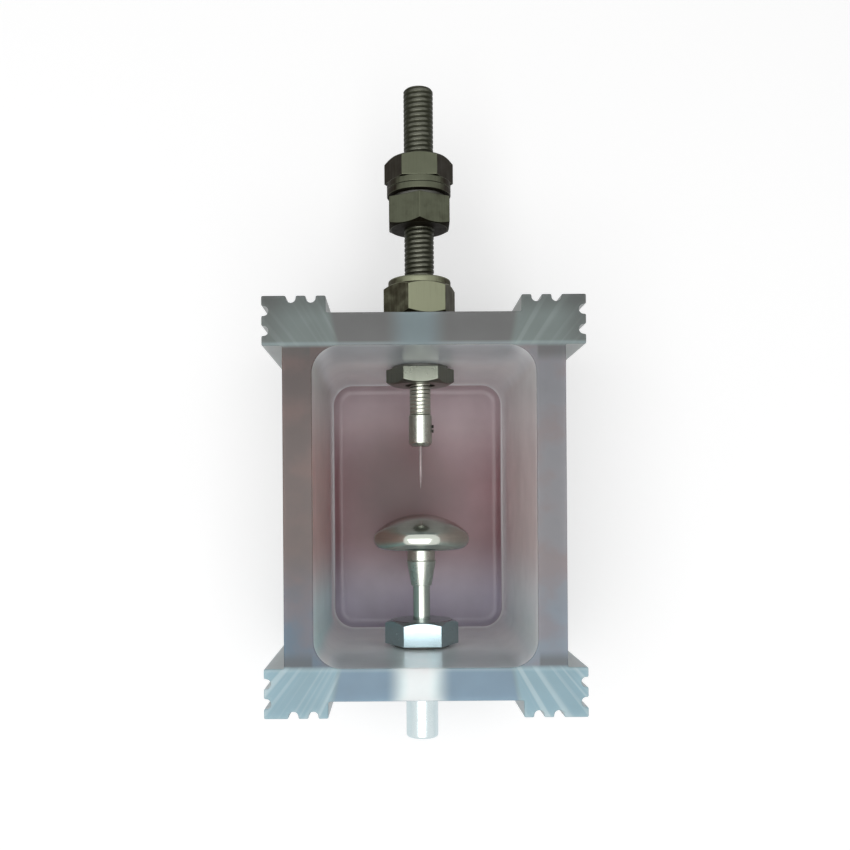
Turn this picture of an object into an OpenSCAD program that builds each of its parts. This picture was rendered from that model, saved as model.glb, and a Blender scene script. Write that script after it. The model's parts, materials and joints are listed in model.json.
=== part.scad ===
// Needle-to-dome spark gap in an open moulded test vessel, millimetres.
// The vessel stands on its flat base at z = 0, its mouth opens towards +Z and the
// origin is the centre of the base. Both electrodes lie on one line along Y: the
// screw-fed needle comes in through the +Y wall, the dome is fixed in the -Y wall.

/* [Vessel] */
// Length of the chamber between the two electrode walls
chamber_length = 105; // [95:1:120]
// Width of the chamber between the two side walls
chamber_width = 73; // [64:1:90]
// Depth of the chamber from rim to floor
chamber_depth = 100; // [90:1:115]
// Radius of the chamber's four upright corners
chamber_corner = 9; // [6:0.5:12]
// Radius where the walls run into the floor
floor_fillet = 4; // [2:0.5:5]
// Thickness of the two walls that carry the electrodes
end_wall = 10.8; // [9:0.2:12]
// Thickness of the two side walls
side_wall = 9.7; // [8:0.1:12]
// Thickness of the floor
floor_thickness = 10; // [7:0.5:14]
// Height of the electrode line above the base
axis_height = 61.2; // [54:0.2:66]

/* [Corner posts] */
// Width of a corner post across the vessel
post_width = 21; // [19:0.5:24]
// How far a post stands out beyond the side wall
post_side_stand = 6.6; // [5:0.2:9]
// How far a post stands out beyond the end wall
post_end_stand = 5.5; // [4:0.2:8]
// Number of upright grooves in each outward face of a post
groove_count = 2; // [1:1:2]
// Width of one groove
groove_width = 3.2; // [2.4:0.1:3.6]
// Depth of one groove
groove_depth = 2.3; // [1.9:0.1:3]
// Width of the ridge beside each groove
groove_ridge = 3.3; // [2.6:0.1:3.6]

/* [Bushes in the walls] */
// Diameter of both bush shanks where they pass through a wall
shank_d = 16.6; // [15:0.2:18]
// Thickness of the rubber gasket under each bush head
gasket_thickness = 1; // [0.6:0.1:1.6]
// Width across flats of the gland bush head inside the chamber
gland_head_af = 22.2; // [20:0.1:24]
// Thickness of the gland bush head
gland_head = 6; // [4:0.5:8]
// Width across flats of the electrode bush head inside the chamber
bush_head_af = 24; // [21:0.5:26]
// Thickness of the electrode bush head
bush_head = 9; // [6:0.5:10]
// Diameter of the flat washers outside the walls
wall_washer_d = 24; // [22:0.5:26]
// Thickness of the flat washers outside the walls
wall_washer = 1.6; // [1:0.1:2.4]
// Width across flats of the clamp nuts outside the walls
clamp_nut_af = 24; // [22:0.5:26]
// Thickness of the clamp nuts outside the walls
clamp_nut = 5.5; // [4:0.5:7]

/* [Packing gland] */
// Width across flats of the gland nut
gland_nut_af = 24; // [22:0.5:27]
// Length of the hexagon of the gland nut
gland_nut_hex = 12; // [8:0.2:14]
// How far inside the flats the turned collar on the gland nut's outer end lies
gland_collar_step = 0.25; // [0.1:0.05:2.4]
// Length of the turned collar
gland_collar = 2.2; // [2:0.2:5]
// Length of the packing ring round the rod
packing_length = 4; // [2:0.5:5]
// Thickness of the wall of the gland nut that presses on the packing
gland_end = 3.7; // [2.6:0.1:5]

/* [Adjusting rod] */
// Outside diameter of the rod's main thread
rod_d = 11.1; // [9.5:0.1:12]
// Diameter of the rod's thin inner end
rod_tip_d = 8; // [6.5:0.1:8.4]
// Distance from the gland head's face to the rod's inner end
rod_tip_reach = 11.2; // [10:0.2:14]
// How far the shoulder of the main thread lies inside the gland head
shoulder_inset = 4.5; // [3:0.5:6]
// Length of rod between the gland nut and the terminal's seat nut
rod_open_length = 19.3; // [14:0.1:24]
// Length of rod that sticks out beyond the terminal nut
rod_free_length = 26.4; // [16:0.1:34]
// Diameter of the rod where nuts are screwed on, between crest and root of the thread
rod_core_d = 10.2; // [9:0.1:10.6]

/* [Terminal] */
// Width across flats of the two terminal nuts
terminal_nut_af = 22.5; // [20:0.5:24]
// Thickness of the seat nut, which stays on the rod
seat_nut_length = 10.8; // [7:0.2:12]
// Thickness of the terminal nut, which comes off
terminal_nut_length = 8.7; // [7:0.1:11]
// Diameter of the two plain washers
plain_washer_d = 24; // [20:0.5:26]
// Thickness of each plain washer
plain_washer = 2.4; // [1.6:0.1:3]
// Diameter of the split spring washer
spring_washer_d = 20; // [17:0.5:24]
// Thickness of the spring washer's wire
spring_wire = 1.2; // [1:0.1:2.2]
// How far the spring washer's ends stand apart
spring_rise = 0.2; // [0.1:0.1:1.2]
// How far the spring washer's outer end is sprung outwards
spring_flare = 2.1; // [0:0.1:2.4]

/* [Needle electrode] */
// Diameter of the needle holder
holder_d = 8.7; // [7.5:0.1:9.4]
// Length of the needle holder
holder_length = 11.7; // [9:0.1:15]
// Diameter of the needle
needle_d = 1.2; // [0.8:0.1:1.6]
// Length of needle that sticks out of the holder
needle_free_length = 15.8; // [12:0.1:15.8]
// Length of the needle's ground point
needle_point = 4.5; // [3:0.5:8]
// Diameter of the screw that clamps the needle
needle_screw_d = 3; // [2:0.5:3]
// How far the needle screw stands out of the holder
needle_screw_stand = 0.6; // [0.2:0.1:1.5]

/* [Dome electrode] */
// Diameter of the dome
dome_d = 36; // [30:0.5:38]
// Radius of the dome's crown
crown_r = 25; // [22:0.5:30]
// Radius of the dome's rolled edge
edge_r = 4; // [3:0.25:4.5]
// Overall thickness of the dome
dome_thickness = 13.3; // [12.5:0.1:16]
// Diameter of the collar under the dome
collar_d = 10.4; // [9:0.2:12]
// Length of the collar under the dome
collar_length = 4.2; // [3:0.2:6]
// Large diameter of the tapered sleeve
cone_d = 11; // [9.5:0.2:13]
// Small diameter of the tapered sleeve
cone_tip_d = 7.6; // [7.4:0.2:9]
// Length of the tapered sleeve
cone_length = 9.4; // [7:0.2:11]
// Diameter of the dome's stem
stem_d = 6.4; // [5:0.2:6.6]
// Length of stem seen between the tapered sleeve and the bush head
stem_open_length = 12.7; // [9:0.1:15]
// Diameter of the contact pin outside the vessel
contact_d = 12; // [10:0.5:14]
// Length of the contact pin outside its clamp nut
contact_length = 16; // [12:0.5:24]

/* [Fits] */
// Radial clearance of a part that slides or turns on another
running_clearance = 0.1; // [0.05:0.01:0.15]
// Radial clearance between parts that are screwed or pressed together
seat_clearance = 0.05; // [0.02:0.01:0.1]
// Radial clearance of a shank in its hole through a wall
wall_clearance = 0.2; // [0.1:0.05:0.4]
// Gap left between faces that part when something moves
face_gap = 0.1; // [0.05:0.01:0.3]

/* [Hidden] */
// Overall sizes of the vessel
body_length = chamber_length + 2 * end_wall;
body_width = chamber_width + 2 * side_wall;
body_height = floor_thickness + chamber_depth;
post_out_x = body_width / 2 + post_side_stand;
post_out_y = body_length / 2 + post_end_stand;
post_in_x = post_out_x - post_width;
post_in_y = chamber_length / 2;
groove_pitch = groove_width + groove_ridge;
hole_d = shank_d + 2 * wall_clearance;
over = 1;

// Nuts: a chamfered end's flat is this share of the width across flats, and its
// corners are turned off at this angle
nut_face = 0.95;
nut_chamfer = 30;

// Turns about the electrode line, from a flat towards +Z
gland_clamp_turn = 24;
gland_nut_turn = 12;
seat_nut_turn = 30;
electrode_clamp_turn = 8;

// Stations along the electrode line, all distances from the chamber's middle.
// Gland side, counted towards +Y
inner_face = chamber_length / 2;
outer_face = body_length / 2;
gland_seat = inner_face - gasket_thickness;
gland_face = gland_seat - gland_head;
clamp_start = outer_face + wall_washer;
clamp_end = clamp_start + clamp_nut;
gland_nut_start = clamp_end + 3 * face_gap;
gland_nut_length = gland_nut_hex + gland_collar;
gland_nut_end = gland_nut_start + gland_nut_length;
packing_end = gland_nut_end - gland_end;
gland_shank_end = packing_end - packing_length;
rod_bore_d = rod_d + 2 * running_clearance;
gland_end_bore_d = rod_d + 6 * running_clearance;
gland_collar_edge = 0.6;

// Rod and terminal
rod_tip = gland_face - rod_tip_reach;
rod_shoulder = gland_face + shoulder_inset;
seat_nut_start = gland_nut_end + rod_open_length;
seat_nut_end = seat_nut_start + seat_nut_length;
spring_start = seat_nut_end + face_gap;
inner_washer_start = spring_start + spring_wire + spring_rise + face_gap / 2;
outer_washer_start = inner_washer_start + plain_washer + face_gap / 2;
terminal_nut_start = outer_washer_start + plain_washer + face_gap / 2;
terminal_nut_end = terminal_nut_start + terminal_nut_length;
rod_end = terminal_nut_end + rod_free_length;
rod_chamfer = 0.6;
washer_bore_d = rod_d + 9 * running_clearance;

// Needle holder
holder_start = rod_tip - holder_length;
holder_spigot_d = rod_tip_d - 3;
holder_spigot = 8;
needle_tip = holder_start - needle_free_length;
needle_depth = holder_length - 2;
needle_screw_at = (holder_start + rod_tip) / 2 + needle_screw_d / 4;
needle_point_d = 0.25;
holder_nose = 1.2;
screw_slot = 0.6;
screw_slot_depth = 0.8;

// Dome side, counted towards -Y
bush_seat = inner_face - gasket_thickness;
bush_face = bush_seat - bush_head;
cone_end = bush_face - stem_open_length;
cone_start = cone_end - cone_length;
collar_start = cone_start - collar_length;
dome_top = collar_start - dome_thickness;
bush_shank_end = clamp_end + 2 * face_gap;
contact_end = bush_shank_end + contact_length;
contact_spigot_d = 8;
contact_spigot = 9;
contact_edge = 1;
stem_socket = 7;
stem_end = bush_shank_end - contact_spigot - over;
gasket_d = 21;
$fn = 96;

// Lays a shape made along local +Z on the electrode line, from station y towards +Y
module gland_side(y) translate([0, y, axis_height]) rotate([-90, 0, 0]) children();

// The same towards -Y, for the dome's side
module dome_side(y) translate([0, -y, axis_height]) rotate([90, 0, 0]) children();

// Hexagon bar of width af and length h; its corners are turned off at the near end,
// the far end or both. turn = 0 puts a flat towards +Z.
module hex_bar(af, h, near = true, far = true, turn = 0) {
    corner = af / sqrt(3);
    flat_r = nut_face * af / 2;
    drop = (corner - flat_r) * tan(nut_chamfer);
    intersection() {
        rotate([0, 0, turn]) cylinder(r = corner, h = h, $fn = 6);
        rotate_extrude() polygon([
            [0, 0], [near ? flat_r : corner + over, 0],
            [corner + (near ? 0 : over), near ? drop : 0],
            [corner + (far ? 0 : over), h - (far ? drop : 0)],
            [far ? flat_r : corner + over, h], [0, h]
        ]);
    }
}

// Plain round ring
module ring(outer, inner, h) {
    difference() {
        cylinder(d = outer, h = h);
        translate([0, 0, -over]) cylinder(d = inner, h = h + 2 * over);
    }
}

// Hexagon nut with a plain bore
module nut(af, bore, h, turn = 0, near = true, far = true) {
    difference() {
        hex_bar(af, h, near, far, turn);
        translate([0, 0, -over]) cylinder(d = bore, h = h + 2 * over);
    }
}

// One groove, cut from the line y = 0 towards -Y with a round bottom
module groove_cut() {
    translate([0, -(groove_depth - groove_width / 2)]) circle(d = groove_width);
    translate([-groove_width / 2, -(groove_depth - groove_width / 2)])
        square([groove_width, groove_depth + over]);
}

// Plan of one corner post in the +X +Y quarter, with grooves in both outward faces
module post_plan() {
    difference() {
        translate([post_in_x, post_in_y])
            square([post_out_x - post_in_x, post_out_y - post_in_y]);
        for (i = [0 : groove_count - 1]) {
            centre = groove_ridge + groove_width / 2 + i * groove_pitch;
            translate([post_in_x + centre, post_out_y]) groove_cut();
            translate([post_out_x, post_in_y + centre]) rotate(-90) groove_cut();
        }
    }
}

module vessel_plan() {
    square([body_width, body_length], center = true);
    for (sx = [0, 1], sy = [0, 1]) mirror([sx, 0]) mirror([0, sy]) post_plan();
}

// Half section of the chamber beside a wall: upright wall, rounded into the floor
module chamber_section() {
    translate([0, floor_fillet]) square([chamber_corner, chamber_depth + over - floor_fillet]);
    square([chamber_corner - floor_fillet, floor_fillet + over]);
    translate([chamber_corner - floor_fillet, floor_fillet]) circle(floor_fillet);
}

// The section turned round the four corners and run along the four walls
module chamber() {
    run_x = chamber_width / 2 - chamber_corner;
    run_y = chamber_length / 2 - chamber_corner;
    for (sx = [-1, 1], sy = [-1, 1])
        translate([sx * run_x, sy * run_y, 0]) rotate_extrude() chamber_section();
    for (s = [0, 180]) rotate([0, 0, s]) {
        translate([run_x, run_y, 0]) rotate([90, 0, 0])
            linear_extrude(2 * run_y) chamber_section();
        translate([-run_x, run_y, 0]) rotate([90, 0, 90])
            linear_extrude(2 * run_x) chamber_section();
    }
    translate([-run_x - over / 2, -run_y - over / 2, 0])
        cube([2 * run_x + over, 2 * run_y + over, chamber_depth + over]);
}

module vessel() {
    color([0.62, 0.68, 0.70, 0.6]) difference() {
        linear_extrude(body_height) vessel_plan();
        translate([0, 0, floor_thickness]) chamber();
        gland_side(inner_face - over) cylinder(d = hole_d, h = end_wall + 2 * over);
        dome_side(inner_face - over) cylinder(d = hole_d, h = end_wall + 2 * over);
    }
}

// Hexagon head inside the chamber, shank out through the wall, bored for the rod
module gland_bush() {
    color("darkkhaki") gland_side(gland_face) difference() {
        union() {
            hex_bar(gland_head_af, gland_head, far = false);
            cylinder(d = shank_d, h = gland_shank_end - gland_face);
        }
        translate([0, 0, -over])
            cylinder(d = rod_bore_d, h = gland_shank_end - gland_face + 2 * over);
    }
}

module gland_gasket() {
    color("dimgray") gland_side(gland_seat)
        ring(gasket_d, shank_d + 2 * seat_clearance, gasket_thickness);
}

module gland_flat_washer() {
    color("silver") gland_side(outer_face)
        ring(wall_washer_d, shank_d + 2 * seat_clearance, wall_washer);
}

module gland_clamp_nut() {
    color("darkkhaki") gland_side(clamp_start)
        nut(clamp_nut_af, shank_d + 2 * seat_clearance, clamp_nut, turn = gland_clamp_turn);
}

// Soft ring squeezed between the end of the shank and the gland nut
module rod_packing() {
    color("ivory") gland_side(gland_shank_end)
        ring(shank_d, rod_bore_d, packing_length);
}

// Cap nut over the shank, turned from hexagon bar: a chamfered hexagon, a round collar
// and an end wall that presses on the packing
module gland_nut() {
    corner = gland_nut_af / sqrt(3);
    flat_r = nut_face * gland_nut_af / 2;
    collar_r = gland_nut_af / 2 - gland_collar_step;
    slope = tan(nut_chamfer);
    drop = (corner - flat_r) * slope;
    length = gland_nut_length;
    color("darkkhaki") gland_side(gland_nut_start) difference() {
        intersection() {
            rotate([0, 0, gland_nut_turn]) cylinder(r = corner, h = length, $fn = 6);
            rotate_extrude() polygon([
                [0, 0], [flat_r, 0], [corner + over, drop + over * slope],
                [corner + over, gland_nut_hex - drop - over * slope],
                [collar_r, gland_nut_hex - (collar_r - flat_r) * slope],
                [collar_r, length - gland_collar_edge],
                [collar_r - gland_collar_edge, length], [0, length]
            ]);
        }
        translate([0, 0, -over])
            cylinder(d = shank_d + 2 * seat_clearance, h = length - gland_end + over);
        cylinder(d = gland_end_bore_d, h = length + over);
    }
}

// Thin inner end, main thread, neck inside the terminal nuts, free end
module adjusting_rod() {
    color("darkolivegreen") gland_side(rod_tip) difference() {
        rotate_extrude() polygon([
            [0, 0], [rod_tip_d / 2, 0],
            [rod_tip_d / 2, rod_shoulder - rod_tip],
            [rod_d / 2, rod_shoulder - rod_tip],
            [rod_d / 2, seat_nut_start - rod_tip],
            [rod_core_d / 2, seat_nut_start - rod_tip],
            [rod_core_d / 2, terminal_nut_end - rod_tip],
            [rod_d / 2, terminal_nut_end - rod_tip],
            [rod_d / 2, rod_end - rod_chamfer - rod_tip],
            [rod_d / 2 - rod_chamfer, rod_end - rod_tip], [0, rod_end - rod_tip]
        ]);
        translate([0, 0, -over])
            cylinder(d = holder_spigot_d + 2 * seat_clearance, h = holder_spigot + 2 * over);
    }
}

// Fixed nut that a cable lug is clamped against; a corner points to +Z
module terminal_seat_nut() {
    color("gray") gland_side(seat_nut_start)
        nut(terminal_nut_af, rod_core_d + 2 * seat_clearance, seat_nut_length,
            turn = seat_nut_turn, far = false);
}

// Split ring: a rectangular wire swept round 340 degrees while it climbs by
// spring_rise and, in its first quarter, is sprung outwards by spring_flare
spring_steps = 40;
spring_sweep = 340;
spring_from = 15;
function spring_frame(i) =
    let (t = i / spring_steps,
         a = spring_from + spring_sweep * t,
         out = spring_flare * pow(max(0, 1 - 4 * t), 2),
         r1 = washer_bore_d / 2 + out,
         r2 = spring_washer_d / 2 + out,
         z = spring_rise * t)
    [for (p = [[r1, z], [r2, z], [r2, z + spring_wire], [r1, z + spring_wire]])
        [p[0] * cos(a), p[0] * sin(a), p[1]]];

module terminal_spring_washer() {
    points = [for (i = [0 : spring_steps]) each spring_frame(i)];
    last = 4 * spring_steps;
    sides = [for (i = [0 : spring_steps - 1], k = [0 : 3])
        let (a = 4 * i + k, b = 4 * i + (k + 1) % 4)
        each [[a, a + 4, b + 4], [a, b + 4, b]]];
    caps = [[0, 1, 2], [0, 2, 3], [last, last + 2, last + 1], [last, last + 3, last + 2]];
    color("dimgray") gland_side(spring_start)
        polyhedron(points, concat(sides, caps));
}

module terminal_inner_washer() {
    color("gray") gland_side(inner_washer_start)
        ring(plain_washer_d, washer_bore_d, plain_washer);
}

module terminal_outer_washer() {
    color("gray") gland_side(outer_washer_start)
        ring(plain_washer_d, washer_bore_d, plain_washer);
}

// Loose nut that clamps the lug; a flat faces +Z
module terminal_nut() {
    color("gray") gland_side(terminal_nut_start)
        nut(terminal_nut_af, rod_bore_d, terminal_nut_length, near = false);
}

// Round holder with a spigot in the rod's end, a hole for the needle and a cross hole
module needle_holder() {
    color("gainsboro") gland_side(holder_start) difference() {
        union() {
            rotate_extrude() polygon([
                [0, 0], [holder_d / 2 - holder_nose, 0], [holder_d / 2, holder_nose],
                [holder_d / 2, holder_length], [0, holder_length]
            ]);
            cylinder(d = holder_spigot_d, h = holder_length + holder_spigot);
        }
        translate([0, 0, -over])
            cylinder(d = needle_d + 2 * seat_clearance, h = needle_depth + 1.5 * over);
        translate([0, 0, needle_screw_at - holder_start]) rotate([0, 90, 0])
            cylinder(d = needle_screw_d + 2 * seat_clearance, h = holder_d);
    }
}

// Small slotted screw that bears on the needle
module needle_screw() {
    from = needle_d / 2 + seat_clearance;
    to = holder_d / 2 + needle_screw_stand;
    color("dimgray") gland_side(needle_screw_at) rotate([0, 90, 0]) difference() {
        translate([0, 0, from]) cylinder(d = needle_screw_d, h = to - from);
        translate([-screw_slot / 2, -needle_screw_d, to - screw_slot_depth])
            cube([screw_slot, 2 * needle_screw_d, screw_slot_depth + over]);
    }
}

module needle() {
    color("silver") gland_side(needle_tip) rotate_extrude() polygon([
        [0, 0], [needle_point_d / 2, 0], [needle_d / 2, needle_point],
        [needle_d / 2, needle_free_length + needle_depth],
        [0, needle_free_length + needle_depth]
    ]);
}

// Half profile of the dome: crown arc, rolled edge arc and flat underside. The edge
// circle touches the crown from inside, so the two arcs meet without a corner.
function arc(cx, cy, r, from, to, steps) =
    [for (i = [0 : steps]) let (a = from + (to - from) * i / steps)
        [cx + r * cos(a), cy + r * sin(a)]];

module dome_profile() {
    edge_x = dome_d / 2 - edge_r;
    blend = asin(edge_x / (crown_r - edge_r));
    crown_z = dome_thickness - crown_r;
    edge_z = crown_z + (crown_r - edge_r) * cos(blend);
    under = min(edge_r, edge_z);
    polygon(concat(
        arc(0, crown_z, crown_r, 90, 90 - blend, 18),
        arc(edge_x, edge_z, edge_r, 90 - blend, under < edge_z ? -90 : -asin(under / edge_r), 18),
        [[edge_x - edge_r, 0], [0, 0]]
    ));
}

module dome_electrode() {
    color("whitesmoke") dome_side(collar_start) mirror([0, 0, 1]) difference() {
        rotate_extrude() dome_profile();
        translate([0, 0, -over])
            cylinder(d = stem_d + 2 * seat_clearance, h = stem_socket + 2 * over);
    }
}

module dome_collar() {
    color("whitesmoke") dome_side(collar_start)
        ring(collar_d, stem_d + 2 * seat_clearance, collar_length);
}

module dome_cone() {
    color("whitesmoke") dome_side(cone_start) difference() {
        cylinder(d1 = cone_d, d2 = cone_tip_d, h = cone_length);
        translate([0, 0, -over])
            cylinder(d = stem_d + 2 * seat_clearance, h = cone_length + 2 * over);
    }
}

module dome_stem() {
    start = collar_start - stem_socket;
    color("whitesmoke") dome_side(start) cylinder(d = stem_d, h = stem_end - start);
}

// Hexagon head inside the chamber, shank out through the wall; the stem is screwed
// into one end and the contact pin into the other
module electrode_bush() {
    length = bush_shank_end - bush_face;
    color("lightgray") dome_side(bush_face) difference() {
        union() {
            hex_bar(bush_head_af, bush_head, far = false);
            cylinder(d = shank_d, h = length);
        }
        translate([0, 0, -over]) cylinder(d = stem_d + 2 * seat_clearance, h = length);
        translate([0, 0, length - contact_spigot - over])
            cylinder(d = contact_spigot_d + 2 * seat_clearance, h = contact_spigot + 2 * over);
    }
}

module electrode_gasket() {
    color("dimgray") dome_side(bush_seat)
        ring(gasket_d, shank_d + 2 * seat_clearance, gasket_thickness);
}

module electrode_flat_washer() {
    color("silver") dome_side(outer_face)
        ring(wall_washer_d, shank_d + 2 * seat_clearance, wall_washer);
}

module electrode_clamp_nut() {
    color("lightgray") dome_side(clamp_start)
        nut(clamp_nut_af, shank_d + 2 * seat_clearance, clamp_nut, turn = electrode_clamp_turn);
}

// Plain pin that plugs into a socket, with a rounded outer edge and a screwed spigot
module contact_pin() {
    color("gainsboro") dome_side(bush_shank_end - contact_spigot) rotate_extrude() polygon(concat(
        [[0, 0], [contact_spigot_d / 2, 0], [contact_spigot_d / 2, contact_spigot],
         [contact_d / 2, contact_spigot]],
        arc(contact_d / 2 - contact_edge, contact_spigot + contact_length - contact_edge,
            contact_edge, 0, 90, 8),
        [[0, contact_spigot + contact_length]]
    ));
}

vessel();
gland_bush();
gland_gasket();
gland_flat_washer();
gland_clamp_nut();
rod_packing();
gland_nut();
adjusting_rod();
terminal_seat_nut();
terminal_spring_washer();
terminal_inner_washer();
terminal_outer_washer();
terminal_nut();
needle_holder();
needle_screw();
needle();
dome_electrode();
dome_collar();
dome_cone();
dome_stem();
electrode_bush();
electrode_gasket();
electrode_flat_washer();
electrode_clamp_nut();
contact_pin();
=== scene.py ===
"""Finished look of a needle-to-dome spark gap in an open moulded test vessel.

The packed model is the fixed frame, in metres, and every piece here takes its place and
size from the node that it stands for. Both electrodes lie on one line along Y, so most
pieces are turned ones: a profile of stations along Y and radii, carried round that line,
with a hexagon's outline where the real piece is hexagon bar. The vessel is an outline
carried up a profile, with its chamber and its two wall holes cut out.
"""
import json
import math

import bpy
import numpy as np
from bpy.props import FloatProperty, FloatVectorProperty, IntProperty, PointerProperty
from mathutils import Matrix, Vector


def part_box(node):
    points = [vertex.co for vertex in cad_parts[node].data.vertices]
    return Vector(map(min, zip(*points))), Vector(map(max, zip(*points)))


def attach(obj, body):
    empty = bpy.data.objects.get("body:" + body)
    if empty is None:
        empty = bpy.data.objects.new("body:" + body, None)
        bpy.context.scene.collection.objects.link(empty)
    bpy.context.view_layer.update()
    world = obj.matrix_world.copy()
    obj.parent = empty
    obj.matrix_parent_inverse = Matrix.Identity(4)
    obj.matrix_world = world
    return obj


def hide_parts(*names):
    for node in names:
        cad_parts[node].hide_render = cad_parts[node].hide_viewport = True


bl_info = {
    "name": "Needle-to-dome spark gap",
    "version": (1, 0, 0),
    "blender": (4, 5, 0),
    "location": "3D View > Sidebar > Spark gap",
    "description": "Makes the finished pieces of a spark gap in a test vessel",
    "category": "Add Mesh",
}

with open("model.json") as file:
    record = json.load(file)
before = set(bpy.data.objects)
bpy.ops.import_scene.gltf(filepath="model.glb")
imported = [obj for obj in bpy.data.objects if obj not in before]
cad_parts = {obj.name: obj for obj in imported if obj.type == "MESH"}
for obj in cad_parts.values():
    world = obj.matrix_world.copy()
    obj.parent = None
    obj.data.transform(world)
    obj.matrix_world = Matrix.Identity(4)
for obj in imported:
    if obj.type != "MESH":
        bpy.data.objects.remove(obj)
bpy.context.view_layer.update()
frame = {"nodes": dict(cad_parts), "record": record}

MM = 0.001
RECORD = frame["record"]
BODY_OF = {n: body for body, nodes in RECORD["behaviour"]["bodies"].items() for n in nodes}
LINE_HEIGHT = (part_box("needle")[0].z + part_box("needle")[1].z) / 2

# How finely curves are drawn: points on a rounded corner, on a groove or fillet, on the
# chamber's upright corners and on the dome's two arcs, angles round a turned piece and
# round the rod, rows in a turn of the thread, and sections along the spring washer
ROUND_POINTS = 5
ARC_POINTS = 9
CORNER_POINTS = 13
CROWN_POINTS = 40
ROLL_POINTS = 28
ROUND_ANGLES = 128
THREAD_ANGLES = 96
THREAD_ROWS = 12
SPRING_SECTIONS = 97

# A rounded corner takes at most this share of the edges beside it, and the point that
# keeps the flat flat lies this many times as far from the corner as the curve's end
EDGE_SHARE = 0.88
FLAT_FROM = 1.12

# The turned face of a hexagon is a circle whose radius is this share of the hexagon's
# width across the flats, and half a thread's groove is this share of the pitch
FACE_SHARE = 0.475
GROOVE_SHARE = 0.3

# Keeps a division by a length or a radius of 0 finite
TINY = 1e-9


def linear(hex_colour):
    """sRGB hex to linear RGBA: the lower part is a straight line, the rest a 2.4 power."""
    value = int(hex_colour.lstrip("#"), 16)
    srgb = np.array([value >> 16 & 255, value >> 8 & 255, value & 255]) / 255
    rgb = np.where(srgb <= 0.04045, srgb / 12.92, ((srgb + 0.055) / 1.055) ** 2.4)
    return (*rgb.tolist(), 1.0)


def length(name, description, millimetres, least=0.01, most=500.0):
    """A length that the user sets, in metres, given here in millimetres."""
    return FloatProperty(name=name, description=description, default=millimetres * MM,
                         min=least * MM, max=most * MM, precision=5,
                         unit="LENGTH", subtype="DISTANCE")


def angle(name, description, degrees):
    """An angle that the user sets, in radians, given here in degrees."""
    return FloatProperty(name=name, description=description, default=math.radians(degrees),
                         unit="ROTATION", subtype="ANGLE")


def colour(name, description, hex_colour, cover=1.0):
    """A colour that the user sets, given here as sRGB hex. Its alpha says how far it
    covers the tones below it on the plastic."""
    return FloatVectorProperty(name=name, description=description, subtype="COLOR", size=4,
                               min=0.0, max=1.0, default=(*linear(hex_colour)[:3], cover))


class VesselSizes(bpy.types.PropertyGroup):
    """Sizes of the moulded vessel that its box doesn't give."""

    side_wall: length("Side wall", "Thickness of the two side walls", 9.7)
    end_wall: length("End wall", "Thickness of the two walls with the electrodes", 10.8)
    floor: length("Floor", "Thickness of the floor", 10.0)
    corner: length("Chamber corner", "Radius of the chamber's upright corners", 9.0)
    fillet: length("Floor fillet", "Radius where the walls run into the floor", 4.0)
    post_width: length("Post width", "Width of a corner post across the vessel", 21.0)
    post_side: length("Post side stand", "How far a post stands out sideways", 6.6)
    post_end: length("Post end stand", "How far a post stands out endways", 5.5)
    grooves: IntProperty(name="Grooves", description="Upright grooves in each face of a post",
                         default=2, min=1, max=2)
    groove_width: length("Groove width", "Width of one groove", 3.2)
    groove_depth: length("Groove depth", "Depth of one groove", 2.3)
    ridge: length("Ridge", "Width of the ridge beside each groove", 3.3)
    hole: length("Wall hole", "Diameter of the holes through the end walls", 17.0)
    upright_edge: length("Upright edges", "Rounding of the upright edges", 0.6)
    rim_edge: length("Rim edges", "Rounding of the rim's and the base's edges", 0.4)


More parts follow.
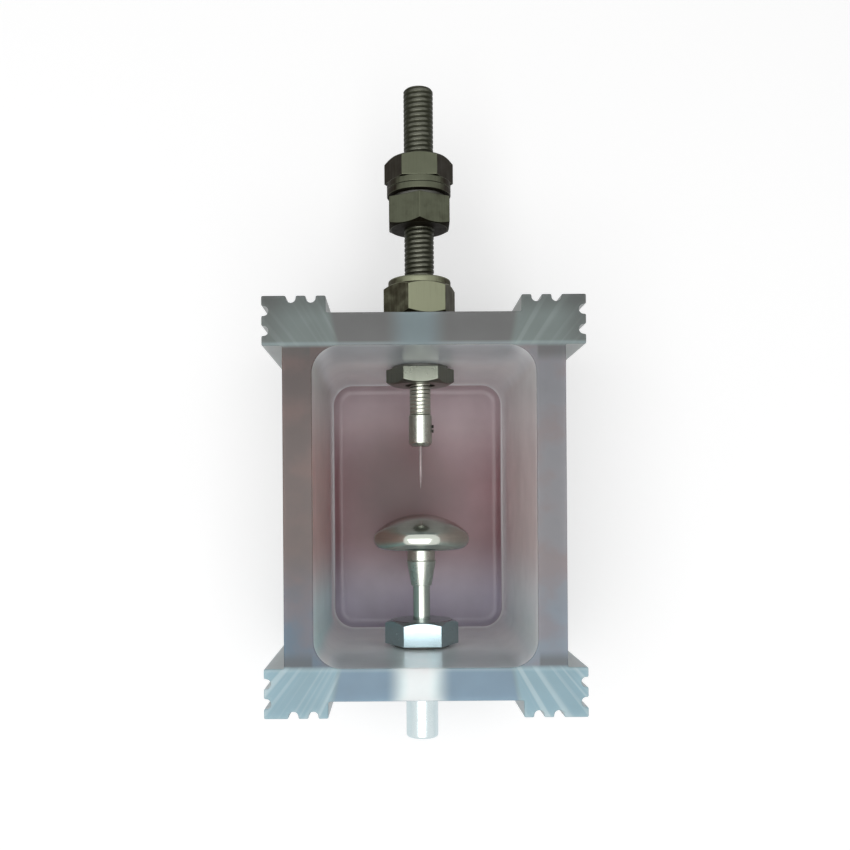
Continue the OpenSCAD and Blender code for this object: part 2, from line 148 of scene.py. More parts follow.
class TurnedSizes(bpy.types.PropertyGroup):
    """Bores, threads and edges that the boxes of the turned pieces don't give."""

    shank: length("Bush shank", "Diameter of both bushes' shanks", 16.6)
    rod_bore: length("Rod bore", "Bore in which the rod runs", 11.3)
    washer_bore: length("Washer bore", "Bore of the terminal washers", 12.0)
    spring_washer: length("Spring washer", "Diameter of the spring washer", 20.0)
    spring_rise: length("Spring rise", "How far the spring washer's ends stand apart", 0.2)
    spring_flare: length("Spring flare", "How far its first end is sprung outwards", 2.1)
    spring_start: angle("Spring start", "Where its first end is, down from the right", 15.0)
    spring_sweep: angle("Spring sweep", "How far round the spring washer goes", 340.0)
    clearance: length("Clearance", "Gap all round a shank, stem or spigot in its bore", 0.05)
    chamfer: angle("Chamfer", "Angle at which a hexagon's corners are turned off", 30.0)
    hexagon_edge: length("Hexagon edge", "Rounding of a hexagon's six corners", 0.36)
    nut_edge: length("Nut edge", "Rounding of the nuts' edges", 0.3)
    fine_edge: length("Fine edge", "Rounding of small edges", 0.15)
    countersink: length("Countersink", "Width of the bevel at a nut's bore", 0.5)
    pitch: length("Thread pitch", "Pitch of the rod's main thread", 1.814)
    depth: length("Thread depth", "Depth of the rod's worn main thread", 0.32)
    tip_pitch: length("Tip thread pitch", "Pitch of the rod's thin inner end", 1.411)
    tip_depth: length("Tip thread depth", "Depth of the thin end's worn thread", 0.13)
    rod_tip: length("Rod tip", "Diameter of the rod's thin inner end", 8.0)
    shoulder: length("Shoulder", "How deep in the gland bush the rod gets thinner", 4.5)
    seat_bore: length("Seat nut bore", "Bore of the nut that is locked on the rod", 10.3)
    wall_nut: length("Wall nuts", "Width across the flats of the gland and clamp nuts", 24.0)
    gland_clamp_turn: angle("Gland clamp nut turn", "Turn of the gland's clamp nut", 24.0)
    gland_nut_turn: angle("Gland nut turn", "Turn of the gland nut", 12.0)
    seat_nut_turn: angle("Seat nut turn", "Turn of the nut locked on the rod", 30.0)
    dome_clamp_turn: angle("Dome clamp nut turn", "Turn of the dome's clamp nut", -8.0)
    collar: length("Gland collar", "Diameter of the gland nut's turned collar", 23.5)
    collar_length: length("Collar length", "Length of the gland nut's turned collar", 2.2)
    gland_end: length("Gland end wall", "Thickness of the gland nut's end wall", 3.7)
    gland_bore: length("Gland nut bore", "Bore of the gland nut's end wall", 11.7)
    needle: length("Needle", "Diameter of the needle", 1.2)
    needle_point: length("Needle point", "Length of the needle's ground point", 4.5)
    needle_tip: length("Needle tip", "Radius of the flat at the needle's tip", 0.12)
    tip_edge: length("Needle tip edge", "Rounding of the needle's tip", 0.05)
    needle_room: length("Needle room", "Room behind the needle in its holder", 0.5)
    holder_bevel: length("Holder bevel", "Bevel round the needle holder's end", 1.2)
    spigot: length("Spigot", "Diameter of the needle holder's spigot", 5.0)
    spigot_length: length("Spigot length", "Length of the needle holder's spigot", 8.0)
    crown: length("Crown radius", "Radius of the dome's crown", 25.0)
    dome_edge: length("Dome edge", "Radius of the dome's rolled edge", 4.0)
    stem: length("Stem", "Diameter of the dome's stem", 6.4)
    stem_socket: length("Stem socket", "Depth of the stem in the dome", 7.0)
    cone_tip: length("Cone tip", "Small diameter of the tapered sleeve", 7.6)
    pin_spigot: length("Pin spigot", "Diameter of the contact pin's spigot", 8.0)
    pin_spigot_length: length("Pin spigot length", "Length of the pin's spigot", 9.0)
    pin_room: length("Pin room", "Room behind the pin's spigot in the bush", 1.0)
    pin_edge: length("Pin edge", "Rounding of the contact pin's end", 1.0)


class Colours(bpy.types.PropertyGroup):
    """Colours of the plastic's zones and of the metals."""

    # Painted light and shade: the plastic's tones below darken towards the gland and turn paler
    # and bluer towards the dome, are pale inside the chamber, at its foot and lip and over the
    # shanks, and dark as shadow beside the posts and in the floor's middle
    side_middle: colour("Side walls", "Side walls between the ends", "#61514c")
    side_gland: colour("Side walls, gland end", "Side walls near the needle", "#4c3d39")
    side_dome: colour("Side walls, dome end", "Side walls near the dome", "#51687a")
    side_right: colour("Right wall", "The paler right-hand side wall", "#9ba2ab", 0.5)
    side_pink: colour("Pink clouds", "Clouds in the side walls", "#7b5a52", 0.35)
    end_gland: colour("End wall, gland", "Wall that carries the needle", "#606160")
    end_dome: colour("End wall, dome", "Wall that carries the dome", "#7390a4")
    post_gland: colour("Posts, gland end", "Corner posts near the needle", "#6f7b78")
    post_dome: colour("Posts, dome end", "Corner posts near the dome", "#89aab6")
    # painted pale streaks: the grooves seen through the plastic, laid out like the lines of a
    # moulding
    painted_streaks_gland: colour("Flow lines", "Lines of the moulding in the posts", "#9aa7a4", 0.25)
    painted_streaks_dome: colour("Flow lines, dome end", "Lines near the dome", "#c8dde3", 0.4)
    # painted shadow and shade: dark bands beside the posts and on their outer edges
    post_edge: colour("Post edges", "Dark outer edges of the posts", "#3d3f3c", 0.6)
    # painted highlight: pale line where the posts begin
    lip: colour("Lip", "Pale line where the posts begin", "#b5cdd2", 0.3)
    # painted light: upright faces and undersides painted paler than the tops
    outside: colour("Outside", "Upright outer faces", "#8d9493", 0.6)
    # painted light: the inner faces below are painted pale, as the light that comes through the
    # walls
    inner_side: colour("Inside", "Inner faces of the side walls", "#dcc0bb")
    inner_gland: colour("Inside, gland end", "Inner faces near the needle", "#d4d6d3")
    inner_dome: colour("Inside, dome end", "Inner faces near the dome", "#dffbfc")
    inner_right: colour("Inside, right", "The paler right-hand inner face", "#f8f6f6", 0.6)
    inner_end: colour("Inside, end walls", "Inner faces of the end walls", "#c8d1d4")
    inner_low: colour("Inside, low", "End walls low down and in the corners", "#fafdff", 0.9)
    # painted highlight: near-white foot of the chamber's walls
    foot: colour("Foot", "Pale foot of the walls", "#fafdff", 0.9)
    floor: colour("Floor", "Floor of the chamber", "#a27d82")
    floor_gland: colour("Floor, gland end", "Floor under the needle's wall", "#c3b0b5")
    floor_dome: colour("Floor, dome end", "Floor under the dome's wall", "#c1baca")
    # painted shadow: darker middle of the floor
    floor_middle: colour("Floor's middle", "Darker middle of the floor", "#643a39", 0.9)
    # painted glow: plastic over the shanks, painted pale as light
    glow_gland: colour("Glow, gland", "Plastic over the gland's shank", "#74868a", 0.9)
    glow_dome: colour("Glow, dome", "Plastic over the bright bush", "#f2ffff")
    nickel: colour("Nickel plate", "Clean nickel plate", "#7f826c")
    # painted shade, broken by clouds: the nickel's sides and undersides go towards this dark
    # brown
    tarnish_and_shade: colour("Tarnish", "Tarnish on the nickel plate", "#3a3629")
    oiled: colour("Oiled nickel", "Nickel plate inside the vessel", "#7d8176")
    dull_nickel: colour("Dull nickel", "Terminal nuts and washers", "#585b4c")
    # painted shade, broken by clouds: the sides and undersides of the terminal and zinc parts go
    # towards this colour
    dull_tarnish_and_shade: colour("Dull tarnish", "Tarnish on the terminal nuts", "#251f17")
    # painted highlight and shade: the crest colour goes on the crests that face up, the side
    # colour on the crests round the sides
    rod: colour("Rod crests", "Crests of the rod's thread", "#63645a")
    rod_side_shade: colour("Rod sides", "Sides of the rod", "#2f3025")
    rod_root: colour("Rod roots", "Roots of the rod's thread", "#303127")
    rod_tip: colour("Rod tip", "Thin end of the rod", "#c2c5b8", 0.9)
    zinc: colour("Zinc plate", "Wall washers and small screw", "#6b6b66")
    chrome: colour("Chrome", "Polished plate", "#c9cec4")
    # painted shade, broken by clouds: the polished plates' sides and undersides go a little
    # towards this colour
    chrome_film_and_shade: colour("Chrome film", "Oily film on the polished plate", "#8b8f86")
    bright: colour("Bright nickel", "Bright nickel plate", "#b0c6cd")
    pin: colour("Contact pin", "Silver plate of the contact pin", "#d3dfe1")
    steel: colour("Needle steel", "Ground steel", "#b5a9aa")
    rubber: colour("Rubber", "Gaskets", "#70716c")
    packing: colour("Packing", "Packing ring", "#e4e1d2")


class StageSizes(bpy.types.PropertyGroup):
    """Camera, lamp, world and paper floor."""

    camera_x: length("Camera X", "Camera's place across the vessel", -9.4, least=-500)
    camera_y: length("Camera Y", "Camera's place along the vessel", 0.2, least=-500)
    camera_height: length("Camera height", "Camera's height over the floor", 410.0)
    camera_roll: angle("Camera roll", "Turn about the view axis", -0.4)
    lens: FloatProperty(name="Lens", description="Focal length in mm on a 36 mm sensor",
                        default=39.13, min=1.0)
    shift_x: FloatProperty(name="Shift X", description="Camera shift across", default=0.0341)
    shift_y: FloatProperty(name="Shift Y", description="Camera shift up", default=0.0953)
    lamp_watts: FloatProperty(name="Lamp power", description="Power of the overhead lamp",
                              default=7.0, min=0.0, unit="POWER")
    lamp_side: length("Lamp side", "Side of the square overhead lamp", 1000.0, most=5000)
    lamp_height: length("Lamp height", "Height of the overhead lamp", 1100.0, most=5000)
    lamp_offset: length("Lamp offset", "Lamp's distance towards the dome's side", 250.0)
    lamp_shift: length("Lamp shift", "Lamp's distance to the left", 120.0)
    world_level: FloatProperty(name="World level", description="Light from all round",
                               default=0.45, min=0.0)
    floor_side: length("Floor side", "Side of the floor", 6000.0, most=20000)
    paper: colour("Paper", "Background paper", "#e7e7e7")
    paper_glow: FloatProperty(name="Paper glow", description="Light that lifts it to white",
                              default=0.35, min=0.0)


# Mesh helpers

def make_object(name, points, faces, values=None):
    """Mesh object of points (n, 3) and faces, smooth, turned to face outwards.

    The faces' signed volume is the sum over their triangles of a . (b x c) / 6; where it
    is below zero every face is reversed. values maps attribute names to one number a point,
    and "up" is added to them: how far the surface faces up, the height of its normal.
    """
    corners = [np.array([f for f in faces if len(f) == n], int) for n in (3, 4)]
    fans = [c[:, [0, k, k + 1]] for c in corners if len(c) for k in range(1, c.shape[1] - 1)]
    fans += [np.array([[f[0], f[k], f[k + 1]] for k in range(1, len(f) - 1)])
             for f in faces if len(f) > 4]
    a, b, c = np.moveaxis(points[np.concatenate(fans)], 1, 0)
    if np.einsum("ij,ij->", a, np.cross(b, c)) < 0:
        faces = [f[::-1] for f in faces]
    mesh = bpy.data.meshes.new(name)
    mesh.from_pydata(points.tolist(), [], faces)
    mesh.shade_smooth()
    normals = np.empty(3 * len(points))
    mesh.vertices.foreach_get("normal", normals)
    for key, numbers in {**(values or {}), "up": normals[2::3]}.items():
        mesh.attributes.new(key, "FLOAT", "POINT").data.foreach_set("value", numbers)
    mesh.update()
    made = bpy.data.objects.new(name, mesh)
    bpy.context.scene.collection.objects.link(made)
    return made


def skin(name, grid, ends, values=None):
    """Closed mesh on a grid of points (rows, columns, 3) whose columns run round.

    ends says how the rows end: "loop" joins the last row to the first, "pole" turns the
    first and last rows, each one point, into the hubs of two fans, and "face" closes
    each with one flat face. values holds arrays of the grid's shape.
    """
    rows, columns = grid.shape[:2]
    index = np.arange(rows * columns).reshape(rows, columns)
    if ends == "pole":
        index[0], index[-1] = 0, index[-1, 0]
    following = np.roll(index, -1, axis=1)
    quads = np.stack([index[:-1], following[:-1], following[1:], index[1:]], -1)
    faces = []
    if ends == "pole":
        faces += quads[0][:, [0, 2, 3]].tolist()
        faces += quads[-1][:, [0, 1, 3]].tolist()
        quads = quads[1:-1]
    faces += quads.reshape(-1, 4).tolist()
    if ends == "loop":
        faces += np.stack([index[-1], following[-1], following[0], index[0]], -1).tolist()
    if ends == "face":
        faces += [index[0][::-1].tolist(), index[-1].tolist()]
    used, packed = np.unique(np.concatenate([np.ravel(f) for f in faces]), return_inverse=True)
    packed = packed.tolist()
    compact, at = [], 0
    for face in faces:
        compact.append(packed[at:at + len(face)])
        at += len(face)
    points = grid.reshape(-1, 3)[used]
    values = {key: numbers.ravel()[used] for key, numbers in (values or {}).items()}
    return make_object(name, points, compact, values)


def rounded(corners, radii):
    """A path (..., corners, 2) with each corner swapped for a short curve.

    The curve leaves the edge before the corner and meets the edge after it at the
    corner's radius, as a parabola (1-t)^2 a + 2t(1-t) corner + t^2 b, with one more point
    on each side that keeps the flats flat. A radius of 0 keeps the corner. Two corners on
    one edge share it in proportion to their radii. Returns the points and, for each, how
    near it is to a corner's middle, from 0 to 1: the root of a half wave over the curve.
    """
    radii = np.asarray(radii, float)
    total = radii + TINY
    before = np.roll(corners, 1, axis=-2) - corners
    after = np.roll(corners, -1, axis=-2) - corners
    before_length = np.linalg.norm(before, axis=-1) + TINY
    after_length = np.linalg.norm(after, axis=-1) + TINY
    room = EDGE_SHARE * np.minimum(before_length * total / (total + np.roll(radii, 1)),
                                   after_length * total / (total + np.roll(radii, -1)))
    trim = np.minimum(radii, room)[..., None]
    before, after = before / before_length[..., None], after / after_length[..., None]
    a, b = corners + before * trim, corners + after * trim
    t = np.linspace(0, 1, ROUND_POINTS)[:, None]
    curve = ((1 - t) ** 2 * a[..., None, :] + 2 * t * (1 - t) * corners[..., None, :]
             + t ** 2 * b[..., None, :])
    flat_before = (corners + before * trim * FLAT_FROM)[..., None, :]
    flat_after = (corners + after * trim * FLAT_FROM)[..., None, :]
    points = np.concatenate([flat_before, curve, flat_after], axis=-2)
    weight = np.concatenate([[0], np.sin(np.pi * t[:, 0]) ** 0.5, [0]])
    keep = np.repeat(radii[:, None] > 0, ROUND_POINTS + 2, axis=1)
    keep[:, ROUND_POINTS // 2 + 1] = True
    edge = np.where(radii[:, None] > 0, weight, 0)
    shape = (*points.shape[:-3], -1, 2)
    return points.reshape(shape)[..., keep.ravel(), :], edge.ravel()[keep.ravel()]


def hexagon(across_flats, rounding, turn=0.0):
    """Angles and radii of a hexagon with rounded corners.

    A flat faces up at turn 0; turn is in radians. On a flat the radius is half the width
    over the cosine of the angle to the flat's middle; round a corner it is where the ray
    meets an arc of the rounding's radius. Half a corner has 4 angles on the arc, one just
    beyond it that keeps the flat flat, and 10 on to the flat's middle.
    """
    flat = across_flats / 2
    middle = (flat - rounding) / math.cos(math.pi / 6)
    tangent = math.atan2(rounding / 2, middle + rounding * math.cos(math.pi / 6))
    beyond = 1.2 * tangent
    half = np.concatenate([np.linspace(0, tangent, 4), np.linspace(beyond, math.pi / 6, 11)])
    away = np.concatenate([-half[:0:-1], half[:-1]])
    arc = np.abs(away) <= tangent
    reach = np.sqrt(np.maximum(rounding ** 2 - (middle * np.sin(away)) ** 2, 0))
    radius = np.where(arc, middle * np.cos(away) + reach,
                      flat / np.cos(math.pi / 6 - np.abs(away)))
    corner = turn + math.pi / 6 + np.arange(6)[:, None] * math.pi / 3
    return (corner + away).ravel(), np.tile(radius, 6)


def lathe(name, start, side, corners, outline=None, ends="loop"):
    """Piece turned round the electrode line.

    corners are (station, radius, rounding), where station counts from start along side
    (+1 or -1 on Y) and either may be an array over the outline's angles, which is how a
    hexagon's flats and the arcs of its chamfers come about. A point is
    (r sin(angle), start + side * station, line height + r cos(angle)).
    """
    around = (np.linspace(0, 2 * math.pi, ROUND_ANGLES, endpoint=False)
              if outline is None else outline[0])
    path = np.stack([np.stack(np.broadcast_arrays(s, r, around)[:2], -1)
                     for s, r, _ in corners], axis=1)
    path, edge = rounded(path, [c[2] for c in corners])
    station, radius = np.moveaxis(path, 1, 0)[..., 0], np.moveaxis(path, 1, 0)[..., 1]
    grid = np.stack([radius * np.sin(around), start + side * station,
                     LINE_HEIGHT + radius * np.cos(around)], -1)
    return skin(name, grid, ends, {"edge": np.broadcast_to(edge[:, None], station.shape)})


def span(node):
    """Lowest and highest Y of a node, and its width across X."""
    low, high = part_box(node)
    return low.y, high.y, high.x - low.x


def finish(piece, node, material):
    """Stands a piece in for its node: it joins the node's body, the node is hidden, and the
    piece takes the given material.
    """
    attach(piece, BODY_OF[node])
    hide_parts(node)
    piece.data.materials.clear()
    piece.data.materials.append(material)


def cut(piece, *tools):
    """Takes closed tools out of a piece and keeps the result as its mesh."""
    for tool in tools:
        modifier = piece.modifiers.new("cut", "BOOLEAN")
        modifier.operation = "DIFFERENCE"
        modifier.solver = "EXACT"
        modifier.object = tool
    bpy.context.view_layer.update()
    evaluated = piece.evaluated_get(bpy.context.evaluated_depsgraph_get())
    mesh = bpy.data.meshes.new_from_object(evaluated)
    piece.modifiers.clear()
    piece.data = mesh
    for tool in tools:
        bpy.data.objects.remove(tool)


# Materials

WHITE = "#ffffff"
SMOOTH = {"interpolation_type": "SMOOTHSTEP"}


def add(tree, kind, inputs=(), output=0, **settings):
    """Adds a node with its settings and links, and returns one of its outputs.

    inputs go to the sockets in order, or by key from a dictionary: a socket is linked and
    anything else becomes the value.
    """
    made = tree.nodes.new("ShaderNode" + kind)
    for key, value in settings.items():
        setattr(made, key, value)
    for key, value in inputs.items() if isinstance(inputs, dict) else enumerate(inputs):
        if isinstance(value, bpy.types.NodeSocket):
            tree.links.new(value, made.inputs[key])
        else:
            made.inputs[key].default_value = value
    return made.outputs[output]


def new_material(name):
    """Empty node material: returns it, its tree and its shader's sockets."""
    material = bpy.data.materials.new(name)
    material.use_nodes = True
    tree = material.node_tree
    return material, tree, tree.nodes["Principled BSDF"].inputs


def metal(name, lit_and_clean, dull, roughness, marks, side_shade_share, marks_depth=0.006):
    """Metal whose finish follows how it was made.

    marks is "turned", rings round the electrode line, or "drawn", lines along it. Marks
    are 0.5 mm apart, coarser than real tool marks so that they show, and marks_depth mm
    deep. Sides and undersides are painted towards the dull colour as shade, by up to the
    given share of shade, 0 to 1, with clouds 4 mm wide where the two meet, and rubbed
    edges keep 0.4 of it. The shaded parts are rougher by up to 0.3.
    """
    material, tree, shader = new_material(name)
    place = add(tree, "TexCoord", output=3)
    centred = add(tree, "Mapping", (place, (0, 0, -LINE_HEIGHT)))
    if marks == "turned":
        x, y, z = add(tree, "SeparateXYZ", (centred,)).node.outputs
        across = add(tree, "CombineXYZ", (x, 0.0, z))
        radius = add(tree, "VectorMath", (across,), 1, operation="LENGTH")
        pattern = add(tree, "CombineXYZ", (radius, y))
    else:
        pattern = add(tree, "Mapping", {0: centred, "Scale": (1, 0.04, 1)})
    fine = add(tree, "TexNoise", {0: pattern, "Scale": 1 / (0.5 * MM), "Detail": 3.0})
    cloud = add(tree, "TexNoise", {0: place, "Scale": 1 / (4 * MM), "Detail": 5.0})
    edge = add(tree, "Attribute", output=2, attribute_name="edge")
    up = add(tree, "Attribute", output=2, attribute_name="up")
    # painted shade: how far the surface faces up, broken by clouds, sets how far its sides and
    # undersides are painted towards the dull colour
    uneven = add(tree, "Math", (cloud, -0.35, up), operation="MULTIPLY_ADD")
    painted_side_shade = add(tree, "MapRange", (uneven, 0.76, 0.42, 0.0, side_shade_share), **SMOOTH)
    rubbed = add(tree, "MapRange", (edge, 0.2, 1.0, 1.0, 0.4))
    shade = add(tree, "Math", (painted_side_shade, rubbed), operation="MULTIPLY")
    streak = add(tree, "MapRange", (fine, 0.3, 0.7, -0.08, 0.08))
    shade = add(tree, "Math", (shade, streak), operation="ADD", use_clamp=True)
    tone = add(tree, "Mix", {0: shade, 6: lit_and_clean, 7: dull}, 2, data_type="RGBA")
    tree.links.new(tone, shader["Base Color"])
    rough = add(tree, "MapRange", (cloud, 0.3, 0.7, roughness * 0.85, roughness * 1.2))
    rough = add(tree, "Math", (shade, 0.3, rough), operation="MULTIPLY_ADD")
    tree.links.new(rough, shader["Roughness"])
    bump = add(tree, "Bump", {"Height": fine, "Strength": 0.5, "Distance": marks_depth * MM})
    tree.links.new(bump, shader["Normal"])
    shader["Metallic"].default_value = 1.0
    return material


def nickel_plated_brass(colours):
    """Worn nickel plate over drawn brass bar: a soft grey-green shine, whose sides and
    undersides are painted brown as shade."""
    return metal("nickel_plated_brass", colours.nickel, colours.tarnish_and_shade, 0.36, "drawn", 0.95)


def oiled_nickel(colours):
    """Nickel plate inside the vessel: its sides are painted only a little darker as shade,
    so it looks paler than the plate outside it.
    """
    return metal("oiled_nickel", colours.oiled, colours.tarnish_and_shade, 0.3, "drawn", 0.1)


def nickel_plated_steel(colours):
    """Dull nickel plate on hexagon bar and washers: grey-olive, darker than the gland; its
    sides and undersides are painted darker still as shade.
    """
    return metal("nickel_plated_steel", colours.dull_nickel, colours.dull_tarnish_and_shade, 0.36,
                 "drawn", 0.95)


def bright_nickel(colours):
    """Bright nickel plate in the test liquid: nearly white with sharp edges; its sides and
    undersides are painted a little darker as shade.
    """
    return metal("bright_nickel", colours.bright, colours.chrome_film_and_shade, 0.22, "turned", 0.3,
                 marks_depth=0.003)


def silver_plate(colours):
    """Silver-plated brass of the contact pin: nearly white, with turning marks; its sides
    and undersides are painted a little towards bright nickel as shade."""
    return metal("silver_plate", colours.pin, colours.bright, 0.25, "turned", 0.3)


def polished_chrome(colours):
    """Mirror-polished plate: it shows what is round it, with hardly any tool marks. Its
    sides and undersides are painted a little darker as shade.
    """
    return metal("polished_chrome", colours.chrome, colours.chrome_film_and_shade, 0.13, "turned", 0.2,
                 marks_depth=0.001)


def buffed_chrome(colours):
    """Buffed plate of the small turned parts: a softer mirror than the dome's, because
    fine turning marks spread the highlight across it. Its sides and undersides are
    painted a little darker as shade."""
    return metal("buffed_chrome", colours.chrome, colours.chrome_film_and_shade, 0.25, "turned", 0.2,
                 marks_depth=0.002)


def ground_steel(colours):
    """Fine ground steel of the needle: grey with a soft shine; its sides and undersides
    are painted a little towards zinc grey as shade.
    """
    return metal("ground_steel", colours.steel, colours.zinc, 0.75, "drawn", 0.2)


def zinc_plated_steel(colours):
    """Zinc plate gone dull: even grey with little shine; its sides and undersides are
    painted darker as shade.
    """
    return metal("zinc_plated_steel", colours.zinc, colours.dull_tarnish_and_shade, 0.42, "turned", 0.6)


def threaded_brass(colours, shoulder):
    """Rolled thread on dull brass rod: the crests on top are painted paler as a highlight
    and are smoother, and the sides are painted dark as shade, about as dark as the roots.
    The thin end, in the test liquid, is pale and smoother."""
    material, tree, shader = new_material("threaded_brass")
    place = add(tree, "TexCoord", output=3)
    cloud = add(tree, "TexNoise", {0: place, "Scale": 1 / (3 * MM), "Detail": 5.0})
    crest = add(tree, "Attribute", output=2, attribute_name="edge")
    up = add(tree, "Attribute", output=2, attribute_name="up")
    y = add(tree, "SeparateXYZ", (place,), 1)
    # painted highlight and shade: crests that face up get the pale crest colour, the crests on
    # the sides the dark one
    uneven = add(tree, "Math", (cloud, -0.5, up), operation="MULTIPLY_ADD")
    top = add(tree, "MapRange", (uneven, 0.4, 0.78), **SMOOTH)
    lit_and_clean = add(tree, "Math", (crest, top), operation="MULTIPLY")
    inside = add(tree, "MapRange", (y, shoulder + MM, shoulder - MM))
    tone = colours.rod_root
    for mask, tint in ((crest, colours.rod_side_shade), (lit_and_clean, colours.rod),
                       (inside, colours.rod_tip)):
        tone = add(tree, "Mix", {0: mask, 6: tone, 7: tint}, 2, data_type="RGBA")
    tree.links.new(tone, shader["Base Color"])
    worn = add(tree, "Math", (lit_and_clean, inside), operation="MAXIMUM")
    tree.links.new(add(tree, "MapRange", (worn, 0.0, 1.0, 0.5, 0.25)), shader["Roughness"])
    bump = add(tree, "Bump", {"Height": cloud, "Strength": 0.4, "Distance": 0.02 * MM})
    tree.links.new(bump, shader["Normal"])
    shader["Metallic"].default_value = 1.0
    return material


def moulded_rubber(colours):
    """Moulded nitrile rubber: nearly black, matt, with a dusty bloom 1.5 mm wide."""
    material, tree, shader = new_material("moulded_rubber")
    place = add(tree, "TexCoord", output=3)
    bloom = add(tree, "TexNoise", {0: place, "Scale": 1 / (1.5 * MM), "Detail": 4.0})
    dusty = add(tree, "MapRange", (bloom, 0.4, 0.8, 0.0, 0.2), **SMOOTH)
    tone = add(tree, "Mix", {0: dusty, 6: colours.rubber, 7: colours.zinc}, 2,
               data_type="RGBA")
    tree.links.new(tone, shader["Base Color"])
    shader["Roughness"].default_value = 0.75
    shader["IOR"].default_value = 1.52
    return material


def turned_packing(colours):
    """Turned PTFE packing: waxy off-white, with oily grey in its 0.8 mm pores."""
    material, tree, shader = new_material("turned_packing")
    place = add(tree, "TexCoord", output=3)
    pores = add(tree, "TexNoise", {0: place, "Scale": 1 / (0.8 * MM), "Detail": 3.0})
    oily = add(tree, "MapRange", (pores, 0.45, 0.8, 0.0, 0.5), **SMOOTH)
    tone = add(tree, "Mix", {0: oily, 6: colours.packing, 7: colours.dull_nickel}, 2,
               data_type="RGBA")
    tree.links.new(tone, shader["Base Color"])
    shader["Roughness"].default_value = 0.5
    shader["IOR"].default_value = 1.35
    return material


